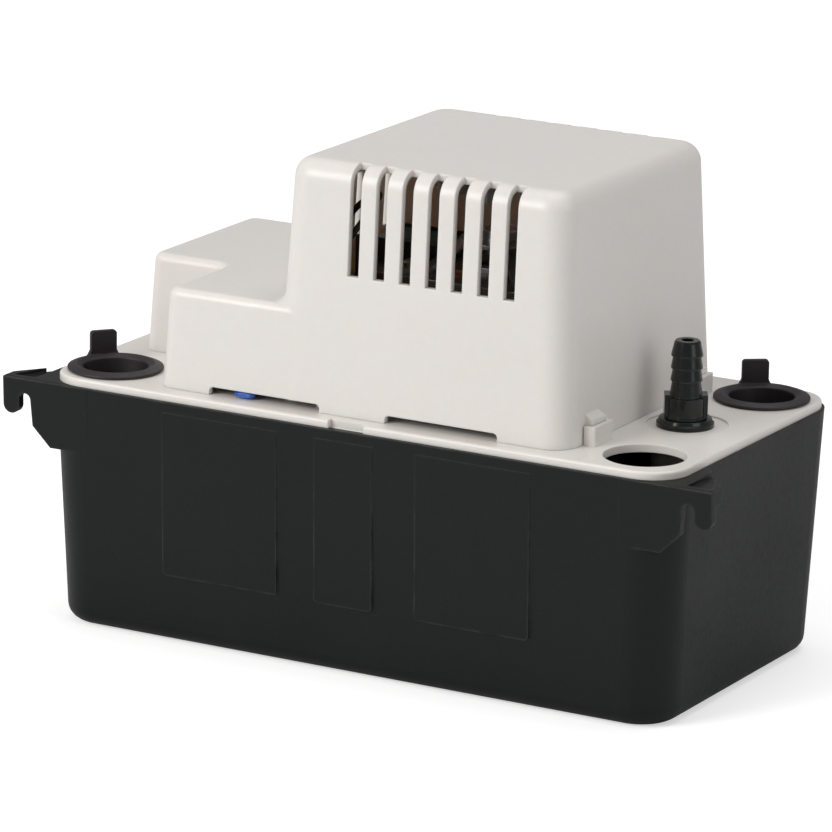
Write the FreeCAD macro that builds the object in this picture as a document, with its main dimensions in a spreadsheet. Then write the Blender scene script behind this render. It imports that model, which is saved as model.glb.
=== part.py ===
import FreeCAD, Part
import math
import os

import Sketcher
from FreeCAD import Placement, Rotation, Vector

# Every driving dimension of the pump, in millimetres and degrees.
SIZES = {
    # Tank, measured over its rim
    "tank_length": 248.6,
    "tank_width": 130.0,
    "tank_height": 87.9,
    "tank_wall": 2.5,
    "tank_floor": 2.8,
    "tank_draft": 2.2,
    "tank_corner": 15.5,
    "tank_foot_round": 6.0,
    # Raised panels on the tank's front
    "panel_bottom": 24.8,
    "panel_drop": 3.9,
    "panel_proud": 0.9,
    "panel_round": 1.6,
    "left_panel_start": -74.1,
    "left_panel_end": -27.8,
    "middle_panel_start": -12.9,
    "middle_panel_end": 10.2,
    "right_panel_start": 26.8,
    "right_panel_end": 71.3,
    # Hanging ears on the tank's front corners
    "ear_overhang": 15.4,
    "ear_thickness": 3.0,
    "ear_proud": 0.05,
    "ear_drop": 23.9,
    "ear_slot_width": 4.6,
    "ear_slot_drop": 5.4,
    "ear_hook_width": 6.5,
    "ear_hook_drop": 13.3,
    "ear_web_thickness": 2.4,
    "ear_web_end": -36.0,
    "ear_web_outer": -58.0,
    "ear_skirt_depth": 5.4,
    "ear_dish_depth": 1.4,
    "ear_dish_rim": 2.4,
    "ear_dish_end": 11.4,
    "ear_dish_front": -61.4,
    # Lid
    "lid_thickness": 2.8,
    "lid_inset": 1.1,
    "lid_edge_round": 0.9,
    "lid_skirt_depth": 5.0,
    "lid_skirt_wall": 1.5,
    "lid_skirt_gap": 0.5,
    "grip_start": -8.0,
    "grip_end": 6.0,
    "grip_depth": 2.3,
    # Inlets and their plugs
    "inlet_radius": 14.29,
    "inlet_end_gap": 20.3,
    "left_inlet_end_gap": 18.5,
    "inlet_side_gap": 20.6,
    "plug_gap": 0.3,
    "plug_flange_radius": 17.0,
    "plug_flange_height": 2.3,
    "plug_lip": 0.9,
    "plug_crest_in": 3.0,
    "plug_dish": 1.2,
    "plug_depth": 9.5,
    "plug_cup_radius": 11.5,
    "plug_floor": 2.0,
    "plug_tab_width": 9.5,
    "plug_tab_thickness": 2.0,
    "plug_tab_height": 8.2,
    "plug_tab_flare": 1.3,
    "plug_tab_place": 14.4,
    "plug_tab_round": 1.2,
    "left_tab_angle": 140.0,
    "right_tab_angle": 126.0,
    # Motor cover
    "cover_right": 80.4,
    "cover_side_gap": 7.8,
    "cover_draft": 2.6,
    "cover_wall": 2.5,
    "cover_height": 87.3,
    "dome_left": -36.1,
    "dome_corner": 9.8,
    "dome_top_round": 7.0,
    "step_height": 35.6,
    "step_left": -80.3,
    "step_back_left": -111.9,
    "step_notch_y": -16.0,
    "step_setback": 0.15,
    "step_corner": 5.0,
    "step_top_round": 3.0,
    "junction_round": 4.5,
    "vent_width": 4.3,
    "vent_pitch": 10.08,
    "vent_first": -4.2,
    "vent_count": 7,
    "vent_rise": 49.0,
    "vent_depth": 11.5,
    "drain_height": 2.9,
    "drain_round": 1.6,
    "left_drain_start": -59.7,
    "left_drain_end": -15.4,
    "right_drain_start": 10.4,
    "right_drain_end": 54.2,
    "side_vent_width": 3.8,
    "side_vent_pitch": 10.1,
    "side_vent_count": 4,
    "side_vent_rise": 50.3,
    "side_vent_height": 23.0,
    "cord_inlet_radius": 4.2,
    "cord_inlet_x": -92.0,
    "cord_inlet_rise": 11.0,
    # Snap latches between cover and lid
    "latch_y": 37.8,
    "latch_width": 9.5,
    "latch_height": 10.8,
    "latch_thickness": 2.2,
    "latch_gap": 0.3,
    "socket_wall": 1.8,
    "socket_height": 6.7,
    # Small post and rib on the lid behind the cover's front notch
    "guide_post_radius": 2.2,
    "guide_post_x": -32.0,
    "guide_rib_x": -20.0,
    "guide_in": 10.2,
    "guide_height": 6.0,
    # Discharge fitting and check valve
    "fitting_x": 96.6,
    "fitting_y": 0.0,
    "fitting_recess": 0.6,
    "fitting_recess_radius": 14.2,
    "fitting_recess_shift": 0.5,
    "fitting_flange_radius": 10.0,
    "fitting_hub_radius": 6.9,
    "fitting_hub_height": 10.4,
    "lug_width": 6.4,
    "lug_reach": 0.5,
    "fitting_bore": 2.15,
    "fitting_height": 29.6,
    "barb_radius": 5.5,
    "barb_root": 4.8,
    "barb_first": 15.5,
    "barb_pitch": 4.35,
    "barb_count": 3,
    "spigot_radius": 7.7,
    "spigot_length": 7.5,
    "valve_bore": 8.0,
    "valve_boss_radius": 11.5,
    "valve_boss_depth": 21.9,
    "seat_height": 3.0,
    "seat_hole": 4.5,
    "seat_lift": 7.0,
    "poppet_radius": 6.2,
    "poppet_height": 2.0,
    "poppet_gap": 0.3,
    "poppet_rib": 1.2,
    "poppet_guide_gap": 0.25,
    "poppet_stem": 11.0,
    "ring_section": 0.85,
    # Pump end in the tank
    "motor_x": 23.0,
    "shaft_radius": 2.38,
    "column_radius": 8.5,
    "column_bore": 5.5,
    "column_flange_radius": 15.0,
    "column_flange": 2.5,
    "casing_top": 20.5,
    "casing_roof": 2.5,
    "casing_wall": 2.0,
    "casing_floor": 7.5,
    "casing_plate": 2.5,
    "volute_start": 17.5,
    "volute_step": 2.0,
    "outlet_width": 11.2,
    "outlet_reach": 28.0,
    "pump_inlet_radius": 6.5,
    "impeller_radius": 14.5,
    "impeller_gap": 0.8,
    "impeller_disc": 1.6,
    "impeller_vane": 1.6,
    "impeller_vanes": 6,
    "lug_radius": 4.0,
    "screw_radius": 1.5,
    "pipe_radius": 6.5,
    "pipe_bore": 5.0,
    "pipe_run": 16.0,
    "pipe_lift": 12.0,
    "collar_length": 7.0,
    # Motor
    "post_height": 23.8,
    "post_radius": 4.5,
    "post_draft": 1.2,
    "bolt_reach": 22.0,
    "bolt_radius": 2.0,
    "bolt_gap": 0.1,
    "bolt_head_radius": 3.6,
    "bolt_head_height": 2.4,
    "bracket_metal": 1.5,
    "bracket_strap": 7.0,
    "bracket_foot": 36.0,
    "bracket_plate_radius": 14.0,
    "lower_bracket_drop": 6.5,
    "upper_bracket_rise": 9.0,
    "bearing_radius": 5.5,
    "bearing_length": 8.0,
    "bearing_gap": 0.05,
    "bearing_cup_wall": 1.4,
    "stack_height": 20.0,
    "stack_right": 29.0,
    "stack_left": 39.0,
    "stack_half_width": 30.0,
    "stack_bore": 13.2,
    "air_gap": 0.5,
    "limb_width": 12.0,
    "window_right": 18.0,
    "window_half_width": 13.3,
    "winding_right": 19.0,
    "winding_left": 50.0,
    "winding_height": 34.0,
    "winding_half_width": 11.5,
    "winding_round": 6.0,
    "bobbin_wall": 1.2,
    "bobbin_gap": 0.2,
    "shading_width": 1.6,
    "shading_span": 8.0,
    "shading_start": 4.0,
    "shading_place": 17.0,
    "rotor_overhang": 2.0,
    "fan_radius": 29.0,
    "fan_disc": 1.5,
    "fan_blade_height": 6.5,
    "fan_blade": 1.4,
    "fan_blades": 9,
    "fan_hub_radius": 5.5,
    "fan_rise": 73.8,
    "slinger_radius": 9.0,
    "slinger_height": 2.0,
    "slinger_rise": 6.0,
    # Float and switches
    "float_x": -62.0,
    "pivot_y": 24.0,
    "pivot_drop": 7.9,
    "pivot_pin": 1.5,
    "pivot_gap": 0.1,
    "pivot_ear": 2.5,
    "pivot_ear_gap": 0.4,
    "arm_hub_width": 14.0,
    "arm_hub_radius": 4.0,
    "arm_width": 8.0,
    "arm_depth": 5.0,
    "arm_post": 10.0,
    "finger_width": 22.0,
    "finger_half_depth": 1.8,
    "finger_height": 21.0,
    "finger_bar": 7.0,
    "float_length": 50.0,
    "float_width": 44.0,
    "float_height": 28.0,
    "float_reach": 45.0,
    "float_drop": 32.0,
    "float_round": 4.0,
    "slot_gap": 0.6,
    "slot_travel": 8.6,
    "switch_depth": 15.9,
    "switch_height": 27.8,
    "switch_width": 10.3,
    "switch_spacing": 0.7,
    "switch_front": 34.0,
    "switch_foot": 1.2,
    "switch_cheek": 1.2,
    "terminal_width": 4.8,
    "terminal_length": 3.2,
    "terminal_thickness": 0.8,
    "lever_pivot_out": 1.2,
    "lever_pivot_down": 2.0,
    "lever_hub": 0.9,
    "lever_pin": 0.6,
    "lever_thickness": 0.8,
    "lever_width": 7.3,
    "lever_tip_out": 6.1,
    "lever_length": 20.5,
    "lead_radius": 1.1,
    "lead_spread": 8.0,
    "connector_radius": 3.2,
    "connector_length": 11.0,
    "connector_x": -46.5,
    "connector_in": 4.7,
}

FULL_TURN = 360.0
XY = "XY_Plane"
XZ = "XZ_Plane"
YZ = "YZ_Plane"
PARTS = []


class Size:
    """A length or angle, held both as a number and as the text of its sheet expression."""

    def __init__(self, value, text):
        self.value = value
        self.text = text

    def __float__(self):
        return float(self.value)

    def __neg__(self):
        return Size(-self.value, f"(-{self.text})")

    def __add__(self, other):
        other = as_size(other)
        return Size(self.value + other.value, f"({self.text} + {other.text})")

    def __sub__(self, other):
        other = as_size(other)
        return Size(self.value - other.value, f"({self.text} - {other.text})")

    def __mul__(self, other):
        other = as_size(other)
        return Size(self.value * other.value, f"({self.text} * {other.text})")

    def __truediv__(self, other):
        other = as_size(other)
        return Size(self.value / other.value, f"({self.text} / {other.text})")

    def __radd__(self, other):
        return as_size(other) + self

    def __rsub__(self, other):
        return as_size(other) - self

    def __rmul__(self, other):
        return as_size(other) * self


def as_size(value):
    if isinstance(value, Size):
        return value
    return Size(value, f"({value})" if value < 0 else str(value))


def tangent(angle):
    return Size(math.tan(math.radians(float(angle))), f"tan({angle.text})")


def cosine(angle):
    return Size(math.cos(math.radians(float(angle))), f"cos({angle.text})")


def sine(angle):
    return Size(math.sin(math.radians(float(angle))), f"sin({angle.text})")


doc = FreeCAD.newDocument("condensate_pump")
sheet = doc.addObject("Spreadsheet::Sheet", "sizes")


class Dimensions:
    """The driving dimensions, each written to its own sheet cell and read by name."""

    def __init__(self, values):
        for row, (name, value) in enumerate(values.items(), start=1):
            sheet.set(f"A{row}", name)
            sheet.set(f"B{row}", str(value))
            sheet.setAlias(f"B{row}", name)
            setattr(self, name, Size(value, f"sizes.{name}"))


S = Dimensions(SIZES)
doc.recompute()


# Heights and half sizes that several pieces share
lid_top = S.tank_height + S.lid_thickness
half_length = S.tank_length / 2
half_width = S.tank_width / 2
ear_reach = half_length + S.ear_overhang
inlet_x = half_length - S.inlet_end_gap
left_inlet_x = half_length - S.left_inlet_end_gap
inlet_y = half_width - S.inlet_side_gap
cover_half_width = half_width - S.cover_side_gap
guide_y = S.guide_in - cover_half_width
connector_front = S.connector_in - cover_half_width
cover_top = lid_top + S.cover_height
step_top = lid_top + S.step_height
fitting_seat = lid_top - S.fitting_recess
stack_bottom = lid_top + S.post_height + S.bracket_metal
stack_top = stack_bottom + S.stack_height
vent_bottom = lid_top + S.vent_rise
side_vent_bottom = lid_top + S.side_vent_rise
fan_bottom = lid_top + S.fan_rise
pivot_z = S.tank_height - S.pivot_drop
slot_top = S.tank_height - S.ear_slot_drop
hook_bottom = S.tank_height - S.ear_hook_drop
seat_bottom = S.tank_height - S.valve_boss_depth + S.seat_lift
seat_top = seat_bottom + S.seat_height


def bind(item, name, size):
    """Tie one property of an object to the sheet."""
    item.setExpression(name, as_size(size).text)


def new_body(label, x=0, y=0, z=0, turn=0):
    """Start a sub-part whose own origin stands at x, y, z in the pump."""
    body = doc.addObject("PartDesign::Body", label)
    body.Label = label
    body.Placement = Placement(Vector(0, 0, 0), Rotation(Vector(0, 0, 1), float(turn)))
    for name, size in (("x", x), ("y", y), ("z", z)):
        bind(body, f".Placement.Base.{name}", size)
    return body


def keep(item):
    """List a finished sub-part, to be checked and written."""
    PARTS.append(item)
    return item


def origin_item(body, role):
    return next(item for item in body.Origin.OriginFeatures if item.Role == role)


def new_sketch(body, plane, away=0, turn=0, lean=0):
    """A sketch on one of the body's own planes, moved along its normal and turned or leaned."""
    sketch = body.newObject("Sketcher::SketchObject", "Profile")
    sketch.AttachmentSupport = (origin_item(body, plane), "")
    sketch.MapMode = "FlatFace"
    if lean:
        sketch.AttachmentOffset = Placement(Vector(0, 0, 0), Rotation(Vector(1, 0, 0), float(lean)))
        bind(sketch, ".AttachmentOffset.Rotation.Angle", lean)
    else:
        sketch.AttachmentOffset = Placement(Vector(0, 0, 0), Rotation(Vector(0, 1, 0), turn))
    bind(sketch, ".AttachmentOffset.Base.z", away)
    return sketch


def place_point(sketch, geometry, point, x, y):
    """Hold one sketch point at x, y from the sketch's origin."""
    for kind, size in (("DistanceX", x), ("DistanceY", y)):
        value = float(as_size(size))
        index = sketch.addConstraint(Sketcher.Constraint(kind, -1, 1, geometry, point, value))
        bind(sketch, f"Constraints[{index}]", size)


def polygon(sketch, points):
    """A closed outline of straight lines with every corner tied to the sheet."""
    corners = [Vector(float(x), float(y), 0) for x, y in points]
    first = sketch.GeometryCount
    count = len(points)
    for start, end in zip(corners, corners[1:] + corners[:1]):
        sketch.addGeometry(Part.LineSegment(start, end))
    for i in range(count):
        joint = Sketcher.Constraint("Coincident", first + i, 2, first + (i + 1) % count, 1)
        sketch.addConstraint(joint)
    for i, (x, y) in enumerate(points):
        place_point(sketch, first + i, 1, x, y)
    return sketch


def rectangle(sketch, left, right, low, high):
    return polygon(sketch, [(left, low), (right, low), (right, high), (left, high)])


def centred(sketch, length, width):
    """A rectangle about the sketch's origin."""
    return rectangle(sketch, -length / 2, length / 2, -width / 2, width / 2)


def rounded(sketch, length, width, radius):
    """A rectangle about the sketch's origin whose corners are arcs of one radius."""
    reach_x = length / 2 - radius
    reach_y = width / 2 - radius
    bend = float(radius)
    quarter = math.pi / 2
    first = sketch.GeometryCount
    centres = [(reach_x, reach_y), (-reach_x, reach_y), (-reach_x, -reach_y), (reach_x, -reach_y)]
    for i, (x, y) in enumerate(centres):
        round_corner = Part.Circle(Vector(float(x), float(y), 0), Vector(0, 0, 1), bend)
        sketch.addGeometry(Part.ArcOfCircle(round_corner, i * quarter, (i + 1) * quarter))
    for i in range(4):
        leave = sketch.Geometry[first + i].EndPoint
        arrive = sketch.Geometry[first + (i + 1) % 4].StartPoint
        sketch.addGeometry(Part.LineSegment(leave, arrive))
    for i, (x, y) in enumerate(centres):
        place_point(sketch, first + i, 3, x, y)
        limit = sketch.addConstraint(Sketcher.Constraint("Radius", first + i, bend))
        bind(sketch, f"Constraints[{limit}]", radius)
        side = first + 4 + i
        sketch.addConstraint(Sketcher.Constraint("Tangent", first + i, 2, side, 1))
        sketch.addConstraint(Sketcher.Constraint("Tangent", side, 2, first + (i + 1) % 4, 1))
    return sketch


def circle(sketch, radius, x=0, y=0):
    """A circle with its centre and radius tied to the sheet."""
    centre = Vector(float(as_size(x)), float(as_size(y)), 0)
    index = sketch.addGeometry(Part.Circle(centre, Vector(0, 0, 1), float(as_size(radius))))
    place_point(sketch, index, 3, x, y)
    limit = sketch.addConstraint(Sketcher.Constraint("Radius", index, float(as_size(radius))))
    bind(sketch, f"Constraints[{limit}]", radius)
    return sketch


def pad(body, profile, length, back=False, both=False, taper=0):
    """Raise a profile along its normal, or against it when back is true."""
    feature = body.newObject("PartDesign::Pad", "Pad")
    feature.Profile = profile
    feature.Midplane = both
    feature.Reversed = back
    bind(feature, "Length", length)
    bind(feature, "TaperAngle", taper)
    return feature


def pocket(body, profile, length, back=False, both=False, taper=0):
    """Cut a profile against its normal, or along it when back is true."""
    feature = body.newObject("PartDesign::Pocket", "Pocket")
    feature.Profile = profile
    feature.Midplane = both
    feature.Reversed = back
    bind(feature, "Length", length)
    bind(feature, "TaperAngle", taper)
    return feature


def revolve(body, points, cut=False):
    """Turn an outline of radius and height pairs about the body's upright axis."""
    profile = polygon(new_sketch(body, XZ), points)
    kind = "Groove" if cut else "Revolution"
    feature = body.newObject(f"PartDesign::{kind}", kind)
    feature.Profile = profile
    feature.ReferenceAxis = (profile, ["V_Axis"])
    feature.Angle = FULL_TURN
    return feature


def polar(body, features, count):
    """Repeat features evenly round the body's upright axis."""
    pattern = body.newObject("PartDesign::PolarPattern", "Ring")
    pattern.Originals = features
    pattern.Axis = (origin_item(body, "Z_Axis"), [""])
    pattern.Angle = FULL_TURN
    bind(pattern, "Occurrences", count)
    body.Tip = pattern
    return pattern


def row(body, features, pitch, count):
    """Repeat features along the pump's length."""
    pattern = body.newObject("PartDesign::LinearPattern", "Row")
    pattern.Originals = features
    pattern.Direction = (origin_item(body, "X_Axis"), [""])
    bind(pattern, "Length", pitch * (count - 1))
    bind(pattern, "Occurrences", count)
    body.Tip = pattern
    return pattern


def mirror(body, features, plane):
    pattern = body.newObject("PartDesign::Mirrored", "Mirror")
    pattern.Originals = features
    pattern.MirrorPlane = (origin_item(body, plane), [""])
    body.Tip = pattern
    return pattern


def soften(body, radius, test, kind="Fillet"):
    """Round, or chamfer, every edge of the body so far that passes the test."""
    doc.recompute()
    base = body.Tip
    names = [f"Edge{i}" for i, edge in enumerate(base.Shape.Edges, start=1) if test(edge)]
    feature = body.newObject(f"PartDesign::{kind}", kind)
    feature.Base = (base, names)
    bind(feature, "Radius" if kind == "Fillet" else "Size", radius)
    return feature


def draft(body, angle, height=0):
    """Lean the body's upright flat sides inwards, hinged where they meet a height."""
    doc.recompute()
    base = body.Tip
    names = [f"Face{i}" for i, face in enumerate(base.Shape.Faces, start=1)
             if abs(face.normalAt(0, 0).z) < 0.5]
    hinge = body.newObject("PartDesign::Plane", "Hinge")
    hinge.AttachmentSupport = (origin_item(body, XY), "")
    hinge.MapMode = "FlatFace"
    bind(hinge, ".AttachmentOffset.Base.z", height)
    feature = body.newObject("PartDesign::Draft", "Draft")
    feature.Base = (base, names)
    feature.NeutralPlane = (hinge, [""])
    bind(feature, "Angle", angle)
    body.Tip = feature
    return feature


def ends(edge):
    return edge.Vertexes[0].Point, edge.Vertexes[-1].Point


def upright(edge, lean=0.1):
    """True for a straight edge that runs upwards, drafted or not."""
    start, end = ends(edge)
    run = end - start
    return abs(run.z) > (1 - lean) * edge.Length


def level(edge, height, within=0.05):
    """True for an edge that lies at one height."""
    box = edge.BoundBox
    return abs(box.ZMin - float(height)) < within and abs(box.ZMax - float(height)) < within


def near(value, target, within=0.3):
    return abs(value - float(target)) < within


def deep(edge):
    """True for an edge that runs front to back."""
    return abs(edge.BoundBox.YLength) > 0.9 * edge.Length


def side_on(edge, x, z, within=0.3):
    """True for a front-to-back edge that lies at x, on either side, and z."""
    centre = edge.BoundBox.Center
    return deep(edge) and near(abs(centre.x), x, within) and near(centre.z, z, within)


def feature_part(label, shape, x=0, y=0, z=0):
    """A sub-part made with shape functions, then placed."""
    item = doc.addObject("Part::Feature", label)
    item.Label = label
    item.Shape = shape
    for name, size in (("x", x), ("y", y), ("z", z)):
        bind(item, f".Placement.Base.{name}", size)
    return keep(item)


# Tank

def tank_form(body, inset, low, high):
    """A drafted box with round upright corners, as far inside the tank's outer face as the inset says."""
    outline = centred(new_sketch(body, XY, low), S.tank_length - inset * 2, S.tank_width - inset * 2)
    pad(body, outline, high - low)
    draft(body, -S.tank_draft, S.tank_height)
    soften(body, S.tank_corner - inset, upright)


def front_depth(height):
    """How far the tank's drafted front wall stands from the middle at a height."""
    return half_width - (S.tank_height - height) * tangent(S.tank_draft)


def ear_points():
    """The right ear in the front wall's own plane, with its open hanging slot."""
    outer = ear_reach
    slot_outer = outer - S.ear_hook_width
    slot_inner = slot_outer - S.ear_slot_width
    bottom = S.tank_height - S.ear_drop
    top = S.tank_height - S.ear_thickness * sine(S.tank_draft)
    points = [
        (half_length - S.tank_corner - 4, top),
        (outer, top),
        (outer, hook_bottom),
        (slot_outer, hook_bottom),
        (slot_outer, slot_top),
        (slot_inner, slot_top),
        (slot_inner - 0.9, bottom + 7.1),
        (slot_inner - 8.1, bottom),
        (half_length - S.tank_corner - 4, bottom),
    ]
    return [(x, z / cosine(S.tank_draft)) for x, z in points]


def make_tank():
    """Drafted open box with three raised front panels and two hanging ears."""
    body = new_body("tank_outside")
    tank_form(body, as_size(0), as_size(0), S.tank_height)
    soften(body, S.tank_foot_round, lambda edge: level(edge, 0))
    panels = (
        (S.left_panel_start, S.left_panel_end),
        (S.middle_panel_start, S.middle_panel_end),
        (S.right_panel_start, S.right_panel_end),
    )
    low, high = S.panel_bottom, S.tank_height - S.panel_drop
    for start, end in panels:
        inner = S.tank_wall / 2 - front_depth(low)
        section = polygon(new_sketch(body, YZ, start), [
            (-front_depth(low) - S.panel_proud, low),
            (inner, low),
            (inner, high),
            (-front_depth(high) - S.ear_proud, high),
        ])
        pad(body, section, end - start)

    soften(body, S.panel_round, lambda edge: deep(edge) and near(edge.BoundBox.Center.z, S.panel_bottom))
    wall_plane = new_sketch(body, XZ, front_depth(as_size(0)) + S.ear_proud, lean=S.tank_draft)
    ear = pad(body, polygon(wall_plane, ear_points()), S.ear_thickness, back=True)
    behind = S.ear_thickness / 2 - half_width
    web_points = [
        (half_length - S.tank_corner - 4, behind),
        (ear_reach, behind),
        (ear_reach, S.ear_web_outer),
        (half_length - 0.5, S.ear_web_end),
        (half_length - S.tank_corner - 4, S.ear_web_end),
    ]
    web = pad(body, polygon(new_sketch(body, XY, S.tank_height), web_points), S.ear_web_thickness, back=True)
    skirt_profile = rectangle(new_sketch(body, XY, S.tank_height), ear_reach - S.ear_web_thickness,
                              ear_reach, behind, S.ear_web_outer)
    skirt = pad(body, skirt_profile, S.ear_skirt_depth, back=True)
    dish = polygon(new_sketch(body, XY, S.tank_height), [
        (ear_reach - S.ear_dish_end, S.ear_dish_front),
        (ear_reach - S.ear_dish_rim, S.ear_dish_front),
        (ear_reach - S.ear_dish_rim, S.ear_web_outer - S.ear_dish_rim / 2),
        (ear_reach - S.ear_dish_end, S.ear_web_end - S.ear_dish_rim),
    ])
    recess = pocket(body, dish, S.ear_dish_depth)
    mirror(body, [ear, web, skirt, recess], YZ)

    slot_outer = ear_reach - S.ear_hook_width
    slot_inner = slot_outer - S.ear_slot_width

    def hook_tip(edge):
        return any(side_on(edge, x, hook_bottom) for x in (slot_outer, ear_reach))

    def slot_roof(edge):
        return any(side_on(edge, x, slot_top) for x in (slot_inner, slot_outer))

    soften(body, S.ear_hook_width * 0.49, hook_tip)
    soften(body, S.ear_slot_width * 0.49, slot_roof)
    hollow = new_body("tank_inside")
    tank_form(hollow, S.tank_wall, S.tank_floor, S.tank_height + 1)
    soften(hollow, S.tank_foot_round - S.tank_wall, lambda edge: level(edge, S.tank_floor))
    tank = doc.addObject("Part::Cut", "tank")
    tank.Label = "tank"
    tank.Base = body
    tank.Tool = hollow
    return keep(tank)


# Lid

def lid_hole(body, radius, x, y, depth, top=None):
    """A round hole cut down from the lid's top."""
    return pocket(body, circle(new_sketch(body, XY, lid_top if top is None else top), radius, x, y), depth)


def socket(body, wall_x, centre_y, side):
    """A three-sided catch on the lid beside the cover's wall, side +1 right or -1 left."""
    near_x = wall_x + side * S.latch_gap
    far_x = near_x + side * (S.latch_thickness + S.latch_gap + S.socket_wall)
    half = S.latch_width / 2 + S.latch_gap + S.socket_wall
    outline = new_sketch(body, XY, lid_top)
    rectangle(outline, min_size(near_x, far_x), max_size(near_x, far_x), centre_y - half, centre_y + half)
    pad(body, outline, S.socket_height)

    def outer_corner(edge):
        centre = edge.BoundBox.Center
        return upright(edge) and near(centre.x, far_x, 0.1) and near(abs(centre.y - float(centre_y)), half, 0.1)

    soften(body, S.socket_wall / 2, outer_corner)
    inner_x = near_x + side * (S.latch_thickness + S.latch_gap)
    start_x = near_x - side * 0.2
    hollow = new_sketch(body, XY, lid_top + S.socket_height)
    rectangle(hollow, min_size(start_x, inner_x), max_size(start_x, inner_x),
              centre_y - half + S.socket_wall, centre_y + half - S.socket_wall)
    pocket(body, hollow, S.socket_height)


def min_size(first, second):
    return first if float(first) < float(second) else second


def max_size(first, second):
    return second if float(first) < float(second) else first


def latch_places():
    """Wall position, centre and side of each catch between cover and lid."""
    return [
        (S.cover_right, -S.latch_y, 1),
        (S.cover_right, S.latch_y, 1),
        (S.step_left, -S.latch_y, -1),
        (S.step_back_left, S.latch_y, -1),
    ]


def make_lid():
    """Flat cover plate with inlets, valve boss, motor posts, latch sockets and float ears."""
    body = new_body("tank_lid")
    plate = rounded(new_sketch(body, XY, S.tank_height), (half_length - S.lid_inset) * 2,
                    (half_width - S.lid_inset) * 2, S.tank_corner - S.lid_inset)
    pad(body, plate, S.lid_thickness)
    soften(body, S.lid_edge_round, lambda edge: level(edge, lid_top))
    skirt = new_sketch(body, XY, S.tank_height)
    reach_x = half_length - S.tank_wall - S.lid_skirt_gap
    reach_y = half_width - S.tank_wall - S.lid_skirt_gap
    corner = S.tank_corner - S.tank_wall - S.lid_skirt_gap
    rounded(skirt, reach_x * 2, reach_y * 2, corner)
    wall = S.lid_skirt_wall
    rounded(skirt, (reach_x - wall) * 2, (reach_y - wall) * 2, corner - wall)
    pad(body, skirt, S.lid_skirt_depth, back=True)
    grip = new_sketch(body, XY, lid_top)
    edge_y = half_width - S.lid_inset
    rectangle(grip, S.grip_start, S.grip_end, -edge_y - 1, -edge_y + S.grip_depth)
    pocket(body, grip, S.lid_thickness)
    for x, y in ((inlet_x, -inlet_y), (inlet_x, inlet_y), (-left_inlet_x, -inlet_y)):
        lid_hole(body, S.inlet_radius, x, y, S.lid_thickness)
    boss = circle(new_sketch(body, XY, S.tank_height), S.valve_boss_radius, S.fitting_x, S.fitting_y)
    pad(body, boss, S.valve_boss_depth, back=True)
    shift = S.fitting_recess_shift
    lid_hole(body, S.fitting_recess_radius, S.fitting_x + shift, S.fitting_y + shift, S.fitting_recess)
    ring_depth = S.fitting_recess + S.ring_section * 2 + S.bolt_gap
    lid_hole(body, S.spigot_radius + S.ring_section * 2 + 0.1, S.fitting_x, S.fitting_y, ring_depth)
    lid_hole(body, S.valve_bore, S.fitting_x, S.fitting_y, lid_top - seat_bottom)
    pipe_hole = S.pipe_radius + S.bearing_gap
    lid_hole(body, pipe_hole, S.fitting_x, S.fitting_y, S.seat_lift, top=seat_bottom)
    lid_hole(body, S.column_bore, S.motor_x, 0, S.lid_thickness)
    posts = new_sketch(body, XY, lid_top)
    for side_x in (-1, 1):
        for side_y in (-1, 1):
            circle(posts, S.post_radius, S.motor_x + side_x * S.bolt_reach, side_y * S.bolt_reach)
    pad(body, posts, S.post_height)
    for side_x in (-1, 1):
        for side_y in (-1, 1):
            lid_hole(body, S.bolt_radius, S.motor_x + side_x * S.bolt_reach, side_y * S.bolt_reach,
                     S.post_height / 2, top=lid_top + S.post_height)
    for wall_x, centre_y, side in latch_places():
        socket(body, wall_x, centre_y, side)
    guides = new_sketch(body, XY, lid_top)
    circle(guides, S.guide_post_radius, S.guide_post_x, guide_y)
    rectangle(guides, S.guide_rib_x, S.guide_rib_x + S.socket_wall, guide_y - 4, guide_y + 4)
    pad(body, guides, S.guide_height)
    ear_start = S.arm_hub_width / 2 + S.pivot_ear_gap
    for side in (-1, 1):
        ear = new_sketch(body, YZ, S.float_x + side * (ear_start + S.pivot_ear / 2))
        rectangle(ear, S.pivot_y - S.arm_hub_radius, S.pivot_y + S.arm_hub_radius,
                  pivot_z - S.arm_hub_radius, S.tank_height)
        pad(body, ear, S.pivot_ear, both=True)

    def ear_corner(edge):
        start, end = ends(edge)
        low = pivot_z - S.arm_hub_radius
        return near(start.z, low, 0.05) and near(end.z, low, 0.05) and abs((end - start).x) > 0.9 * edge.Length

    soften(body, S.arm_hub_radius * 0.95, ear_corner)
    pin_hole = circle(new_sketch(body, YZ, S.float_x), S.pivot_pin, S.pivot_y, pivot_z)
    pocket(body, pin_hole, (ear_start + S.pivot_ear) * 2 + 2, both=True)
    slot = new_sketch(body, XY, lid_top)
    slot_front = S.pivot_y - S.finger_half_depth - S.slot_gap
    slot_half = S.finger_width / 2 + S.slot_gap
    rectangle(slot, S.float_x - slot_half, S.float_x + slot_half, slot_front, slot_front + S.slot_travel)
    pocket(body, slot, S.lid_thickness)
    return keep(body)


# Motor cover

def leaning(place, height):
    """Where a drafted cover wall that stands at a place on the lid has got to at a height."""
    inward = (height - float(lid_top)) * math.tan(math.radians(float(S.cover_draft)))
    return float(place) - math.copysign(inward, float(place))


def cover_corner(edge, x, y):
    """True for an upright cover edge that starts from x, y on the lid."""
    low = min(ends(edge), key=lambda point: point.z)
    return upright(edge) and near(low.x, leaning(x, low.z), 0.6) and near(low.y, leaning(y, low.z), 0.6)


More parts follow.
